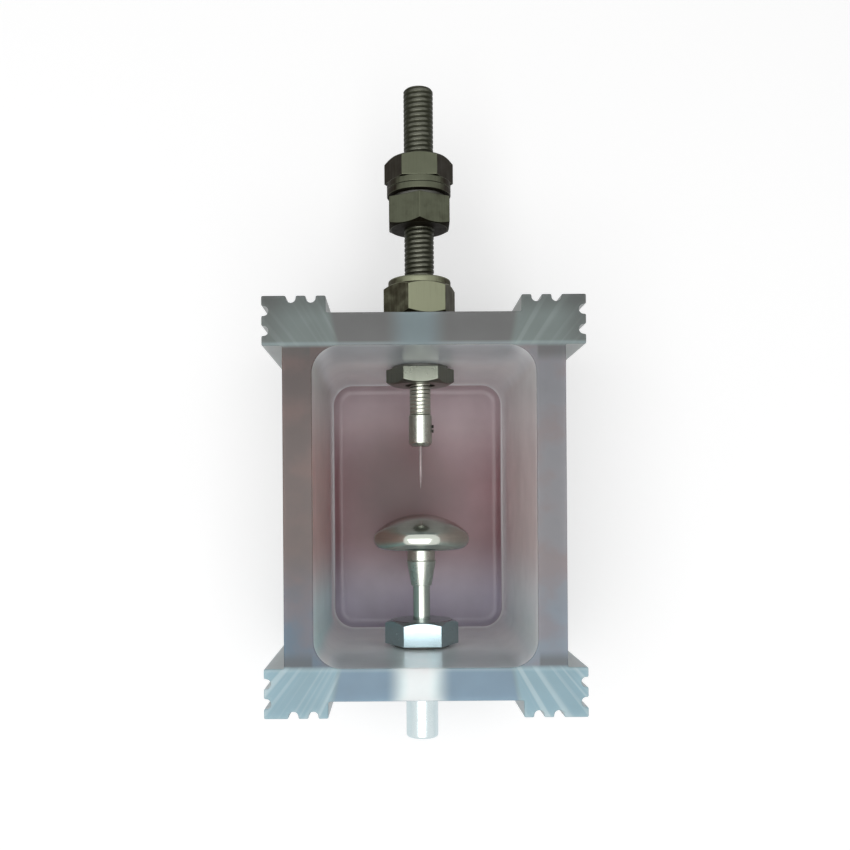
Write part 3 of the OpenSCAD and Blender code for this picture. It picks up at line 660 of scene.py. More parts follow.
def moulded_acrylic(colours, sizes):
    """Moulded clear acrylic, frosted by its mould and years of oil.

    Light soaks into it and comes out elsewhere, and that light is painted into its colour
    zone by zone: mauve where it picks up what it stands on, darker towards the gland and
    paler grey-blue towards the dome, green in the thick posts, pale on the chamber's inner
    faces, a pale painted highlight at the walls' foot and along a lip, and a painted glow,
    nearly white, over the bright bush. Painted pale streaks about 2 mm apart, the grooves
    seen through the plastic, run outwards in the posts like the lines of a moulding, and
    clouds 14 mm wide vary the rest. Dark bands beside the posts and a dark middle of the
    floor are painted shadow. Each tone lies over those before it, where all of its masks
    hold, by its colour's alpha. A mask rises from 0 to 1 between its two places in metres.
    The frosting is even, because patches of it show as dark worms over the soaked light.
    """
    material, tree, shader = new_material("moulded_acrylic")
    low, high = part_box("vessel")
    inner_x = high.x - sizes.post_side - sizes.side_wall
    outer_y = high.y - sizes.post_end
    inner_y = outer_y - sizes.end_wall
    floor = low.z + sizes.floor
    place = add(tree, "TexCoord", output=3)
    x, y, z = add(tree, "SeparateXYZ", (place,)).node.outputs
    away_x = add(tree, "Math", (x,), operation="ABSOLUTE")
    away_y = add(tree, "Math", (y,), operation="ABSOLUTE")
    lean = add(tree, "Math", (away_y, -0.2, away_x), operation="MULTIPLY_ADD")
    facing = add(tree, "SeparateXYZ", (add(tree, "TexCoord", output=1),), 2)
    spot = add(tree, "Mapping", {0: place, "Location": (8 * MM, -6.4 * MM, 0),
                                 "Scale": (1, 0.8, 0)})
    from_spot = add(tree, "VectorMath", (spot,), 1, operation="LENGTH")
    cloud = add(tree, "TexNoise", {0: place, "Scale": 1 / (14 * MM), "Detail": 3.0})
    from_glow = add(tree, "Math", (x, 2.3 * MM), operation="ADD")
    from_glow = add(tree, "Math", (from_glow,), operation="ABSOLUTE")
    bearing = add(tree, "Math", (x, away_y), operation="ARCTAN2")
    # painted pale streaks in the posts: the grooves seen through the plastic, laid out like the
    # lines of a moulding running out from the middle
    painted_streaks = add(tree, "TexNoise", {1: bearing, "Scale": 26.0, "Detail": 2.0},
               noise_dimensions="1D")

    reach = {
        "gland": (y, 8 * MM, 48 * MM), "dome": (y, -12 * MM, -42 * MM),
        "near dome": (y, 5 * MM, -5 * MM), "right": (x, -10 * MM, 40 * MM),
        "ends": (away_y, inner_y - MM, inner_y + MM), "posts": (lean, 16.5 * MM, 19 * MM),
        "lip": (away_y, inner_y + 1.6 * MM, inner_y + 0.4 * MM),
        "side rim": (away_x, high.x - 10 * MM, high.x),
        "end rim": (away_y, high.y - 8 * MM, high.y),
        "wall": (away_x, inner_x, inner_x + MM), "off posts": (away_y, inner_y + MM, inner_y),
        "by posts": (away_y, inner_y - 6 * MM, inner_y - 2 * MM),
        "painted_streaks": (painted_streaks, 0.45, 0.75), "pink": (cloud, 0.42, 0.68),
        "upright": (facing, 0.7, 0.2),
        "below rim": (z, high.z - 0.2 * MM, high.z - 0.5 * MM),
        "in x": (away_x, inner_x + 0.6 * MM, inner_x + 0.2 * MM),
        "in y": (away_y, inner_y + 0.6 * MM, inner_y + 0.2 * MM),
        "end face": (away_y, inner_y - 7 * MM, inner_y - MM),
        "side face": (away_x, inner_x - 9 * MM, inner_x - 2 * MM),
        "low": (z, high.z - 12 * MM, floor + 52 * MM),
        "foot": (z, floor + 22 * MM, floor + 7 * MM),
        "floor": (z, floor + 2.2 * MM, floor + 1.4 * MM),
        "spot": (from_spot, 34 * MM, 6 * MM),
        "shank": (from_glow, 11 * MM, 2.5 * MM),
        "above line": (z, LINE_HEIGHT - 8 * MM, LINE_HEIGHT),
        "in wall": (away_y, outer_y, outer_y - 0.3 * MM),
        "over bush": (away_y, inner_y - 1.6 * MM, inner_y - 0.4 * MM),
    }
    masks = {key: add(tree, "MapRange", values, **SMOOTH) for key, values in reach.items()}
    inside = ("below rim", "in x", "in y")
    layers = (
        # painted light: the side walls are darker towards the gland and paler and bluer towards
        # the dome, as the light falls along the vessel
        (("gland",), colours.side_gland), (("dome",), colours.side_dome),
        (("right",), colours.side_right), (("pink",), colours.side_pink),
        # painted shadow: a dark band on the side walls' tops beside the posts
        (("wall", "off posts", "by posts"), colours.post_edge),
        # painted light: the end walls and posts are grey-green at the gland's end and paler and
        # bluer at the dome's end
        (("ends",), colours.end_gland), (("ends", "near dome"), colours.end_dome),
        (("ends", "posts"), colours.post_gland),
        (("ends", "posts", "near dome"), colours.post_dome),
        # painted pale streaks in the posts, paler at the dome's end
        (("ends", "posts", "painted_streaks"), colours.painted_streaks_gland),
        (("ends", "posts", "near dome", "painted_streaks"), colours.painted_streaks_dome),
        # painted shade: dark outer edges of the posts and of the end rim at the gland's end
        (("ends", "posts", "side rim", "gland"), colours.post_edge),
        (("ends", "end rim", "gland"), colours.post_edge),
        # painted highlight: a pale line where the posts begin; the upright faces and undersides
        # are painted paler than the tops, a painted difference of light between facings
        (("ends", "lip"), colours.lip), (("upright",), colours.outside),
        # painted light: the chamber's inner faces are painted pale, as the light that comes
        # through the walls, palest low on the end walls and in the corners
        (inside, colours.inner_side), ((*inside, "gland"), colours.inner_gland),
        ((*inside, "dome"), colours.inner_dome), ((*inside, "right"), colours.inner_right),
        ((*inside, "end face"), colours.inner_end),
        ((*inside, "end face", "low"), colours.inner_low),
        ((*inside, "end face", "side face"), colours.inner_low),
        # painted highlight: the near-white foot of the chamber's walls, above the mauve floor
        ((*inside, "foot"), colours.foot), ((*inside, "floor"), colours.floor),
        # painted shadow: the floor is paler towards both ends and darker in its middle
        ((*inside, "floor", "gland"), colours.floor_gland),
        ((*inside, "floor", "dome"), colours.floor_dome),
        ((*inside, "floor", "spot"), colours.floor_middle),
        # painted glow: the plastic over the shanks is painted pale as light, though nothing there
        # gives light
        (("ends", "in wall", "shank", "above line"), colours.glow_gland),
        (("over bush", "in wall", "shank", "above line", "near dome"), colours.glow_dome),
    )
    tone = colours.side_middle
    for names, tint in layers:
        mask = masks[names[0]]
        for other in names[1:]:
            mask = add(tree, "Math", (mask, masks[other]), operation="MULTIPLY")
        mask = add(tree, "Math", (mask, tint[3]), operation="MULTIPLY")
        tone = add(tree, "Mix", {0: mask, 6: tone, 7: tint}, 2, data_type="RGBA")
    value = add(tree, "MapRange", (cloud, 0.3, 0.7, 0.93, 1.07))
    tone = add(tree, "HueSaturation", {"Color": tone, "Value": value})
    tree.links.new(tone, shader["Base Color"])
    shader["Roughness"].default_value = 0.3
    on_floor = add(tree, "Math", (masks["in x"], masks["floor"]), operation="MULTIPLY")
    clear = add(tree, "MapRange", (on_floor, 0.0, 1.0, 0.05, 0.0))
    tree.links.new(clear, shader["Transmission Weight"])
    shader["Subsurface Weight"].default_value = 0.8
    shader["Subsurface Radius"].default_value = (1, 1, 1)
    shader["Subsurface Scale"].default_value = sizes.side_wall
    shader["IOR"].default_value = 1.49
    return material


def seen_rays(tree):
    """1 for rays from the camera, mirrors and clear plastic, 0 for light that spreads."""
    rays = add(tree, "LightPath").node.outputs
    either = add(tree, "Math", (rays["Is Camera Ray"], rays["Is Glossy Ray"]),
                 operation="MAXIMUM")
    return add(tree, "Math", (either, rays["Is Transmission Ray"]), operation="MAXIMUM")


def background_paper(stage):
    """Matt white background paper: its shadow stays, and its own light lifts it to white."""
    material, tree, shader = new_material("background_paper")
    shader["Base Color"].default_value = stage.paper
    shader["Roughness"].default_value = 0.9
    shader["Emission Color"].default_value = linear(WHITE)
    lift = add(tree, "Math", (seen_rays(tree), stage.paper_glow), operation="MULTIPLY")
    tree.links.new(lift, shader["Emission Strength"])
    return material


# Pieces

def chamfered_hexagon(across, sizes, turn=0.0):
    """Outline of hexagon bar, the radius of its turned face, and how far the chamfer
    reaches along it at each angle: what the outline's radius has over the face's, times
    the tangent of the chamfer's angle."""
    outline = hexagon(across, sizes.hexagon_edge, turn)
    face = FACE_SHARE * across
    return outline, face, (outline[1] - face) * math.tan(sizes.chamfer)


def nut(name, node, side, across, bore, turn, sizes, material, chamfered=(True, True)):
    """Hexagon nut with a countersunk bore. chamfered says which of its two ends have
    their corners turned off; the other end is cut square."""
    low, high, _ = span(node)
    height = high - low
    outline, face, drop = chamfered_hexagon(across, sizes, turn)
    ends = []
    for station, inwards, turned_off in zip((0, height), (drop, -drop), chamfered):
        if turned_off:
            ends.append([(station, face, sizes.nut_edge),
                         (station + inwards, outline[1], sizes.fine_edge)])
        else:
            ends.append([(station, outline[1], sizes.nut_edge)])
    sink = sizes.countersink
    corners = ends[0] + ends[1][::-1] + [
        (height, bore / 2 + sink, sizes.fine_edge), (height - sink, bore / 2, sizes.fine_edge),
        (sink, bore / 2, sizes.fine_edge), (0, bore / 2 + sink, sizes.fine_edge),
    ]
    piece = lathe(name, low if side > 0 else high, side, corners, outline)
    finish(piece, node, material)


def washer(name, node, bore, rounding, sizes, material):
    """Flat ring with rubbed edges."""
    low, high, across = span(node)
    corners = [(0, across / 2, rounding), (high - low, across / 2, rounding),
               (high - low, bore / 2, sizes.fine_edge), (0, bore / 2, sizes.fine_edge)]
    piece = lathe(name, low, 1, corners)
    finish(piece, node, material)


def bush(name, node, side, across, head, bore, sizes, material, socket=None):
    """Hexagon head with a chamfered face and a shank that goes out through the wall.
    socket is the width and depth of a wider bore in the shank's end."""
    low, high, _ = span(node)
    height = high - low
    outline, face, drop = chamfered_hexagon(across, sizes)
    shank = sizes.shank / 2
    corners = [
        (0, face, sizes.nut_edge), (drop, outline[1], sizes.fine_edge),
        (head, outline[1], sizes.fine_edge), (head, shank, sizes.fine_edge),
        (height, shank, sizes.nut_edge),
    ]
    if socket:
        wide, deep = socket
        corners += [(height, wide / 2, sizes.fine_edge), (height - deep, wide / 2, 0)]
        corners += [(height - deep, bore / 2, 0)]
    else:
        corners += [(height, bore / 2, sizes.fine_edge)]
    corners += [(0, bore / 2, sizes.nut_edge)]
    piece = lathe(name, low if side > 0 else high, side, corners, outline)
    finish(piece, node, material)


class SPARK_OT_stage(bpy.types.Operator):
    """Makes the camera, the overhead lamp, the world and the floor"""

    bl_idname = "spark_gap.stage"
    bl_label = "Stage"

    def execute(self, context):
        scene, stage = context.scene, context.scene.spark_stage
        scene.view_settings.view_transform = "Standard"
        camera = bpy.data.objects.new("camera", bpy.data.cameras.new("camera"))
        camera.location = (stage.camera_x, stage.camera_y, stage.camera_height)
        camera.rotation_euler = (0, 0, stage.camera_roll)
        camera.data.sensor_width = 36
        camera.data.lens = stage.lens
        camera.data.shift_x, camera.data.shift_y = stage.shift_x, stage.shift_y
        camera.data.clip_start = 10 * MM
        scene.collection.objects.link(camera)
        scene.camera = camera

        lamp = bpy.data.objects.new("overhead_lamp", bpy.data.lights.new("overhead", "AREA"))
        lamp.data.energy = stage.lamp_watts
        lamp.data.size = stage.lamp_side
        lamp.location = (-stage.lamp_shift, -stage.lamp_offset, stage.lamp_height)
        lamp.rotation_euler = (-math.atan2(stage.lamp_offset, stage.lamp_height), 0, 0)
        scene.collection.objects.link(lamp)

        world = bpy.data.worlds.new("studio")
        world.use_nodes = True
        scene.world = world
        tree = world.node_tree
        background = tree.nodes["Background"]
        level = add(tree, "MapRange", (seen_rays(tree), 0.0, 1.0, stage.world_level, 1.0))
        tree.links.new(level, background.inputs["Strength"])
        background.inputs["Color"].default_value = linear(WHITE)

        half = stage.floor_side / 2
        corners = np.array([(-half, -half, 0), (half, -half, 0), (half, half, 0),
                            (-half, half, 0)])
        mesh = bpy.data.meshes.new("floor")
        mesh.from_pydata(corners.tolist(), [], [(0, 1, 2, 3)])
        floor = bpy.data.objects.new("floor", mesh)
        scene.collection.objects.link(floor)
        floor.data.materials.append(background_paper(stage))
        return {"FINISHED"}


def vessel_outline(sizes, high):
    """Plan of the vessel up to its highest corner: points (x, y), anticlockwise.

    One quarter is drawn and mirrored. A groove is a rounded mouth, a straight wall and
    half a circle, which is sampled by its angle.
    """
    half_x, half_y = high.x - sizes.post_side, high.y - sizes.post_end
    in_x, in_y = high.x - sizes.post_width, half_y - sizes.end_wall
    width, depth, ridge = sizes.groove_width, sizes.groove_depth, sizes.ridge
    turn = np.radians(np.linspace(0, 180, ARC_POINTS))

    def grooved(start, end, out):
        """A post's face from its inner end outwards, as (along, out, rounding)."""
        points = [(start, out, sizes.upright_edge)]
        for i in range(sizes.grooves):
            middle = start + ridge + width / 2 + i * (ridge + width)
            points.append((middle - width / 2, out, sizes.upright_edge))
            points += [(middle - width / 2 * c, out - (depth - width / 2) - width / 2 * s, 0)
                       for c, s in zip(np.cos(turn).tolist(), np.sin(turn).tolist())]
            points.append((middle + width / 2, out, sizes.upright_edge))
        points.append((end, out, sizes.upright_edge))
        return points

    quarter = [(half_x, in_y, sizes.upright_edge)]
    quarter += [(out, at, r) for at, out, r in grooved(in_y, high.y, high.x)]
    quarter += [(at, out, r) for at, out, r in grooved(in_x, high.x, high.y)[-2::-1]]
    quarter += [(in_x, half_y, sizes.upright_edge)]
    quarter = np.array(quarter)
    mirrored = quarter[::-1] * (-1, 1, 1)
    plan = np.concatenate([quarter, mirrored, quarter * (-1, -1, 1), mirrored * (-1, -1, 1)])
    return rounded(plan[:, :2], plan[:, 2])[0]


class SPARK_OT_vessel(bpy.types.Operator):
    """Makes the moulded vessel: grooved outline, rounded chamber and the wall holes"""

    bl_idname = "spark_gap.vessel"
    bl_label = "Vessel"

    def execute(self, context):
        sizes = context.scene.spark_vessel
        low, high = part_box("vessel")
        plan = vessel_outline(sizes, high)
        tangent = np.roll(plan, -1, axis=0) - np.roll(plan, 1, axis=0)
        outward = np.stack([tangent[:, 1], -tangent[:, 0]], -1)
        outward /= np.linalg.norm(outward, axis=1)[:, None]
        inset = FLAT_FROM * sizes.rim_edge
        rise, _ = rounded(np.array([(inset, low.z), (0, low.z), (0, high.z), (inset, high.z)]),
                          [0, sizes.rim_edge, sizes.rim_edge, 0])
        flat = plan[None] - outward[None] * rise[:, None, :1]
        upright = np.broadcast_to(rise[:, None, 1:], (*flat.shape[:2], 1))
        vessel = skin("finished_vessel", np.concatenate([flat, upright], -1), "face")

        half_x = high.x - sizes.post_side - sizes.side_wall
        half_y = high.y - sizes.post_end - sizes.end_wall
        chamber = self.chamber(sizes, half_x, half_y, low.z, high.z)
        # Each drill starts 1 mm inside the chamber and comes out 1 mm past the wall
        through = sizes.end_wall + 2 * MM
        drill = [(0, 0, 0), (0, sizes.hole / 2, 0), (through, sizes.hole / 2, 0),
                 (through, 0, 0)]
        holes = [lathe("hole", side * (half_y - MM), side, drill, ends="pole")
                 for side in (1, -1)]
        cut(vessel, chamber, *holes)
        vessel.data.shade_smooth()
        weighted = vessel.modifiers.new("flats stay flat", "WEIGHTED_NORMAL")
        weighted.weight = 80
        finish(vessel, "vessel", moulded_acrylic(context.scene.spark_colours, sizes))
        return {"FINISHED"}

    @staticmethod
    def chamber(sizes, half_x, half_y, base, rim):
        """The chamber's space: a rounded rectangle carried up its wall's profile.

        A row inset by d keeps the corners' centres and has the corner radius less d, so
        the floor's fillet and the rim's rounded edge are quarter circles of d and height.
        One more row on the floor keeps it flat. The rim's edge stops at 78 degrees and
        goes on at its slope, so that the space leaves the rim's face at a clean angle.
        """
        floor, fillet, edge = base + sizes.floor, sizes.fillet, sizes.rim_edge
        down = np.radians(np.linspace(90, 0, ARC_POINTS))
        over = np.radians(np.linspace(0, 78, ROUND_POINTS))
        flat, flare, above = 1.1 * fillet, 1.6 * edge, 0.12 * edge
        inset = np.concatenate([[sizes.corner, flat], fillet - fillet * np.cos(down),
                                -edge + edge * np.cos(over), [-flare, -flare]])
        height = np.concatenate([[floor, floor], floor + fillet - fillet * np.sin(down),
                                 rim - edge + edge * np.sin(over), [rim + above, rim + MM]])
        quarter = np.radians(np.linspace(0, 90, CORNER_POINTS))
        quarters = quarter[None] + np.radians([0, 90, 180, 270])[:, None]
        centre = np.array([(1, 1), (-1, 1), (-1, -1), (1, -1)]) * (half_x - sizes.corner,
                                                                  half_y - sizes.corner)
        spoke = np.stack([np.cos(quarters), np.sin(quarters)], -1)
        loops = (centre[None, :, None] + spoke[None]
                 * (sizes.corner - inset)[:, None, None, None]).reshape(len(inset), -1, 2)
        grid = np.concatenate([loops, np.broadcast_to(height[:, None, None],
                                                      (*loops.shape[:2], 1))], -1)
        hub = np.broadcast_to(np.array([0, 0, floor]), (1, *grid.shape[1:]))
        lid = np.broadcast_to(np.array([0, 0, rim + MM]), (1, *grid.shape[1:]))
        return skin("chamber", np.concatenate([hub, grid[1:], lid]), "pole")


class SPARK_OT_gland(bpy.types.Operator):
    """Makes the gland: bush, gasket, washer, clamp nut, packing and gland nut"""

    bl_idname = "spark_gap.gland"
    bl_label = "Packing gland"

    def execute(self, context):
        sizes, colours = context.scene.spark_turned, context.scene.spark_colours
        plate, zinc = nickel_plated_brass(colours), zinc_plated_steel(colours)
        shank_bore = sizes.shank + 2 * sizes.clearance
        face, _, _ = span("gland_bush")
        seat, _, _ = span("gland_gasket")
        low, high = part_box("gland_bush")
        bush("finished_gland_bush", "gland_bush", 1, high.z - low.z, seat - face,
             sizes.rod_bore, sizes, oiled_nickel(colours))
        washer("finished_gland_gasket", "gland_gasket", shank_bore, sizes.nut_edge, sizes,
               moulded_rubber(colours))
        washer("finished_gland_flat_washer", "gland_flat_washer", shank_bore,
               sizes.fine_edge, sizes, zinc)
        nut("finished_gland_clamp_nut", "gland_clamp_nut", 1, sizes.wall_nut, shank_bore,
            sizes.gland_clamp_turn, sizes, plate)
        washer("finished_rod_packing", "rod_packing", sizes.rod_bore, sizes.fine_edge, sizes,
               turned_packing(colours))
        self.gland_nut(sizes, shank_bore, plate)
        return {"FINISHED"}

    @staticmethod
    def gland_nut(sizes, shank_bore, material):
        """Cap nut: chamfered hexagon, turned collar and an end wall round the rod."""
        low, high, _ = span("gland_nut")
        height, collar = high - low, sizes.collar / 2
        hexagon_end = height - sizes.collar_length
        outline, face, drop = chamfered_hexagon(sizes.wall_nut, sizes, sizes.gland_nut_turn)
        collar_drop = (collar - face) * math.tan(sizes.chamfer)
        wall, bore = height - sizes.gland_end, sizes.gland_bore / 2
        corners = [
            (0, face, sizes.nut_edge), (drop, outline[1], sizes.fine_edge),
            (hexagon_end - drop, outline[1], sizes.fine_edge),
            (hexagon_end - collar_drop, collar, sizes.fine_edge / 2),
            (height, collar, 3 * sizes.nut_edge), (height, bore, sizes.nut_edge),
            (wall, bore, 0), (wall, shank_bore / 2, 0), (0, shank_bore / 2, sizes.fine_edge),
        ]
        finish(lathe("finished_gland_nut", low, 1, corners, outline), "gland_nut", material)


class SPARK_OT_rod(bpy.types.Operator):
    """Makes the threaded adjusting rod"""

    bl_idname = "spark_gap.rod"
    bl_label = "Adjusting rod"

    def execute(self, context):
        sizes = context.scene.spark_turned
        low, high, across = span("adjusting_rod")
        shoulder = span("gland_bush")[0] + sizes.shoulder
        around = np.linspace(0, 2 * math.pi, THREAD_ANGLES, endpoint=False)
        tip = self.thread(low, shoulder, sizes.rod_tip / 2, sizes.tip_pitch,
                          sizes.tip_depth, around)
        main = self.thread(shoulder, high, across / 2, sizes.pitch, sizes.depth, around)
        socket = sizes.spigot / 2 + sizes.clearance
        deep = low + sizes.spigot_length
        flat = np.ones_like(around)
        rows = [(deep, 0 * flat, 0 * flat), (deep, socket * flat, 0 * flat),
                (low, socket * flat, 0 * flat)]
        rows += tip + main + [(high, 0 * flat, 0 * flat)]
        station = np.array([r[0] for r in rows])[:, None] * flat
        radius = np.stack([r[1] for r in rows])
        crest = np.stack([r[2] for r in rows])
        grid = np.stack([radius * np.sin(around), station,
                         LINE_HEIGHT + radius * np.cos(around)], -1)
        rod = skin("finished_adjusting_rod", grid, "pole", {"edge": crest})
        finish(rod, "adjusting_rod", threaded_brass(context.scene.spark_colours, shoulder))
        return {"FINISHED"}

    @staticmethod
    def thread(start, end, radius, pitch, depth, around):
        """Rows of a right-hand thread from start to end, as (station, radii, crests).

        The groove is depth times cos^2 of its distance from the helix station / pitch =
        angle / 360 degrees, over 0.6 of the pitch, which leaves the flat crests of a worn
        thread. A bevel of 45 degrees, a quarter of the pitch deep, cuts both ends.
        """
        count = int((end - start) / pitch * THREAD_ROWS)
        station = np.linspace(start, end, count)[:, None]
        turn = station / pitch - around / (2 * math.pi)
        aside = np.abs(turn - np.round(turn)) / GROOVE_SHARE
        crest = 1 - np.cos(np.minimum(aside, 1) * math.pi / 2) ** 2
        bevel = np.minimum(station - start, end - station) + radius - pitch / 4
        shape = np.minimum(radius - depth * (1 - crest), bevel)
        return [(float(s), r, w) for s, r, w in zip(station[:, 0], shape, crest)]


class SPARK_OT_terminal(bpy.types.Operator):
    """Makes the terminal: two nuts, two plain washers and the split spring washer"""

    bl_idname = "spark_gap.terminal"
    bl_label = "Terminal"

    def execute(self, context):
        sizes, colours = context.scene.spark_turned, context.scene.spark_colours
        steel = nickel_plated_steel(colours)
        # The terminal nut stands with a flat up, so it is as high as it is across the flats
        low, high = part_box("terminal_nut")
        across = high.z - low.z
        nut("finished_terminal_seat_nut", "terminal_seat_nut", 1, across, sizes.seat_bore,
            sizes.seat_nut_turn, sizes, steel, chamfered=(True, False))
        nut("finished_terminal_nut", "terminal_nut", 1, across, sizes.rod_bore, 0.0, sizes,
            steel, chamfered=(False, True))
        for node in ("terminal_inner_washer", "terminal_outer_washer"):
            washer("finished_" + node, node, sizes.washer_bore, 2 * sizes.fine_edge, sizes,
                   steel)
        self.spring_washer(sizes, zinc_plated_steel(colours))
        return {"FINISHED"}

    @staticmethod
    def spring_washer(sizes, material):
        """Split spring washer: a rounded rectangle of wire swept most of a turn.

        The wire climbs on its way round and, in its first quarter, is sprung outwards,
        by a distance that falls off as the square of the way left.
        """
        low, high, _ = span("terminal_spring_washer")
        rise = sizes.spring_rise
        wire = high - low - rise
        way = np.linspace(0, 1, SPRING_SECTIONS)
        out = sizes.spring_flare * np.maximum(0, 1 - 4 * way) ** 2
        near, far = sizes.washer_bore / 2 + out, sizes.spring_washer / 2 + out
        bottom = low + rise * way
        section = np.stack([np.stack([near, bottom], -1), np.stack([far, bottom], -1),
                            np.stack([far, bottom + wire], -1),
                            np.stack([near, bottom + wire], -1)], axis=1)
        section, edge = rounded(section, [2 * sizes.fine_edge] * 4)
        around = (sizes.spring_start + sizes.spring_sweep * way)[:, None]
        grid = np.stack([section[..., 0] * np.cos(around), section[..., 1],
                         LINE_HEIGHT - section[..., 0] * np.sin(around)], -1)
        piece = skin("finished_terminal_spring_washer", grid, "face",
                     {"edge": np.broadcast_to(edge, section.shape[:2])})
        finish(piece, "terminal_spring_washer", material)


class SPARK_OT_needle(bpy.types.Operator):
    """Makes the needle and its holder and finishes the clamping screw"""

    bl_idname = "spark_gap.needle"
    bl_label = "Needle electrode"

    def execute(self, context):
        sizes, colours = context.scene.spark_turned, context.scene.spark_colours
        low, high, across = span("needle_holder")
        face = high - sizes.spigot_length - low
        bore = sizes.needle / 2 + sizes.clearance
        deep = span("needle")[1] - low + sizes.needle_room
        bevel = sizes.holder_bevel
        corners = [
            (deep, 0, 0), (deep, bore, 0), (0, bore, sizes.fine_edge),
            (0, across / 2 - bevel, sizes.nut_edge), (bevel, across / 2, sizes.nut_edge),
            (face, across / 2, sizes.nut_edge), (face, sizes.spigot / 2, 0),
            (high - low, sizes.spigot / 2, sizes.nut_edge), (high - low, 0, 0),
        ]
        holder = lathe("finished_needle_holder", low, 1, corners, ends="pole")
        finish(holder, "needle_holder", buffed_chrome(colours))

        low, high, across = span("needle")
        corners = [(0, 0, 0), (0, sizes.needle_tip, sizes.tip_edge),
                   (sizes.needle_point, across / 2, sizes.needle_point / 3),
                   (high - low, across / 2, sizes.fine_edge), (high - low, 0, 0)]
        needle = lathe("finished_needle", low, 1, corners, ends="pole")
        finish(needle, "needle", ground_steel(colours))

        screw = frame["nodes"]["needle_screw"]
        screw.data.materials.clear()
        screw.data.materials.append(zinc_plated_steel(colours))
        return {"FINISHED"}


class SPARK_OT_dome(bpy.types.Operator):
    """Makes the dome electrode with its collar, tapered sleeve and stem"""

    bl_idname = "spark_gap.dome"
    bl_label = "Dome electrode"

    def execute(self, context):
        sizes = context.scene.spark_turned
        chrome = polished_chrome(context.scene.spark_colours)
        buffed = buffed_chrome(context.scene.spark_colours)
        stem_bore = sizes.stem / 2 + sizes.clearance
        finish(self.dome(sizes, stem_bore), "dome_electrode", chrome)

        low, high, across = span("dome_collar")
        corners = [(0, across / 2, sizes.nut_edge), (high - low, across / 2, sizes.nut_edge),
                   (high - low, stem_bore, sizes.fine_edge), (0, stem_bore, sizes.fine_edge)]
        finish(lathe("finished_dome_collar", high, -1, corners), "dome_collar", buffed)

        low, high, across = span("dome_cone")
        corners = [(0, across / 2, sizes.nut_edge),
                   (high - low, sizes.cone_tip / 2, sizes.fine_edge),
                   (high - low, stem_bore, sizes.fine_edge / 2), (0, stem_bore, sizes.fine_edge)]
        finish(lathe("finished_dome_cone", high, -1, corners), "dome_cone", buffed)

        low, high, across = span("dome_stem")
        corners = [(0, 0, 0), (0, across / 2, sizes.nut_edge),
                   (high - low, across / 2, sizes.nut_edge), (high - low, 0, 0)]
        finish(lathe("finished_dome_stem", high, -1, corners, ends="pole"), "dome_stem", chrome)
        return {"FINISHED"}

    @staticmethod
    def dome(sizes, stem_bore):
        """Mushroom-shaped dome, from its top towards its stem.

        The crown is an arc round a point on the line; the rolled edge is a smaller arc
        that touches it from inside, at the angle whose sine is the edge centre's distance
        from the line over the difference of the two radii.
        """
        low, high, across = span("dome_electrode")
        thickness = high - low
        crown, edge = sizes.crown, sizes.dome_edge
        edge_out = across / 2 - edge
        blend = math.asin(edge_out / (crown - edge))
        edge_in = crown - (crown - edge) * math.cos(blend)
        last = math.pi / 2 + math.asin(min(1.0, (thickness - edge_in) / edge))
        corners = [(crown - crown * math.cos(a), crown * math.sin(a), 0)
                   for a in np.linspace(0, blend, CROWN_POINTS).tolist()]
        corners += [(edge_in - edge * math.cos(a), edge_out + edge * math.sin(a), 0)
                    for a in np.linspace(blend, last, ROLL_POINTS)[1:].tolist()]
        socket = thickness - sizes.stem_socket
        corners += [(thickness, stem_bore, sizes.fine_edge), (socket, stem_bore, 0),
                    (socket, 0, 0)]
        return lathe("finished_dome_electrode", high, -1, corners, ends="pole")


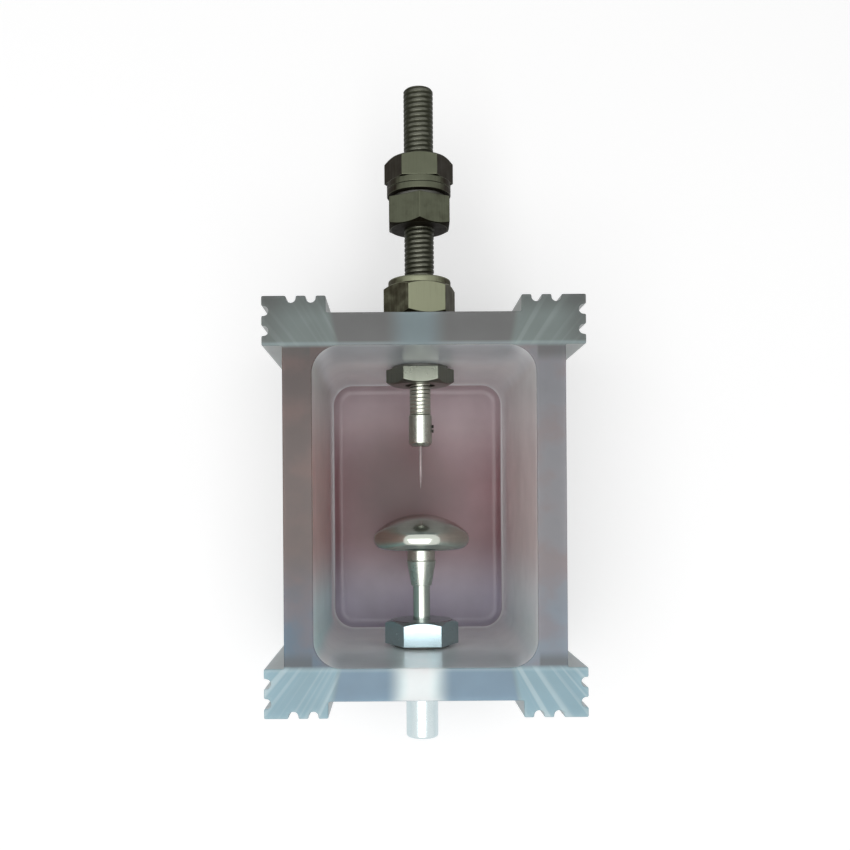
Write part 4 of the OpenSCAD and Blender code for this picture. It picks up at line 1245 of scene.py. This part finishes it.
class SPARK_OT_electrode_bush(bpy.types.Operator):
    """Makes the dome's bush, gasket, washer, clamp nut and the contact pin"""

    bl_idname = "spark_gap.electrode_bush"
    bl_label = "Electrode bush"

    def execute(self, context):
        sizes, colours = context.scene.spark_turned, context.scene.spark_colours
        bright, zinc = bright_nickel(colours), zinc_plated_steel(colours)
        shank_bore = sizes.shank + 2 * sizes.clearance
        low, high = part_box("electrode_bush")
        head = high.y - span("electrode_gasket")[1]
        socket = (sizes.pin_spigot + 2 * sizes.clearance,
                  sizes.pin_spigot_length + sizes.pin_room)
        bush("finished_electrode_bush", "electrode_bush", -1, high.z - low.z, head,
             sizes.stem + 2 * sizes.clearance, sizes, bright, socket=socket)
        washer("finished_electrode_gasket", "electrode_gasket", shank_bore, sizes.nut_edge,
               sizes, moulded_rubber(colours))
        washer("finished_electrode_flat_washer", "electrode_flat_washer", shank_bore,
               sizes.fine_edge, sizes, zinc)
        nut("finished_electrode_clamp_nut", "electrode_clamp_nut", -1, sizes.wall_nut, shank_bore,
            sizes.dome_clamp_turn, sizes, bright)

        low, high, across = span("contact_pin")
        spigot, deep = sizes.pin_spigot / 2, sizes.pin_spigot_length
        corners = [(0, 0, 0), (0, spigot, sizes.nut_edge), (deep, spigot, 0),
                   (deep, across / 2, sizes.nut_edge),
                   (high - low, across / 2, sizes.pin_edge), (high - low, 0, 0)]
        pin = lathe("finished_contact_pin", high, -1, corners, ends="pole")
        finish(pin, "contact_pin", silver_plate(colours))
        return {"FINISHED"}


OPERATORS = (SPARK_OT_stage, SPARK_OT_vessel, SPARK_OT_gland, SPARK_OT_rod, SPARK_OT_terminal,
             SPARK_OT_needle, SPARK_OT_dome, SPARK_OT_electrode_bush)


GROUPS = {"spark_vessel": VesselSizes, "spark_turned": TurnedSizes, "spark_colours": Colours,
          "spark_stage": StageSizes}


class SPARK_PT_panel(bpy.types.Panel):
    """Lists the operators and their settings in the 3D view's sidebar"""

    bl_idname = "SPARK_PT_panel"
    bl_label = "Spark gap"
    bl_space_type = "VIEW_3D"
    bl_region_type = "UI"
    bl_category = "Spark gap"

    def draw(self, context):
        for operator in OPERATORS:
            self.layout.operator(operator.bl_idname)
        for key, group in GROUPS.items():
            settings = self.layout.column(align=True)
            settings.label(text=group.__doc__)
            for name in group.__annotations__:
                settings.prop(getattr(context.scene, key), name)


def register():
    """Registers the classes and hangs the settings on the scene."""
    for kind in (*GROUPS.values(), *OPERATORS, SPARK_PT_panel):
        bpy.utils.register_class(kind)
    for key, group in GROUPS.items():
        setattr(bpy.types.Scene, key, PointerProperty(type=group))


def unregister():
    """Takes the settings and the classes away again."""
    for key in GROUPS:
        delattr(bpy.types.Scene, key)
    for kind in (SPARK_PT_panel, *reversed(OPERATORS), *reversed(GROUPS.values())):
        bpy.utils.unregister_class(kind)


def main():
    register()
    bpy.ops.spark_gap.stage()
    bpy.ops.spark_gap.vessel()
    bpy.ops.spark_gap.gland()
    bpy.ops.spark_gap.rod()
    bpy.ops.spark_gap.terminal()
    bpy.ops.spark_gap.needle()
    bpy.ops.spark_gap.dome()
    bpy.ops.spark_gap.electrode_bush()
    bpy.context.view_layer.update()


if __name__ == "__main__":
    main()
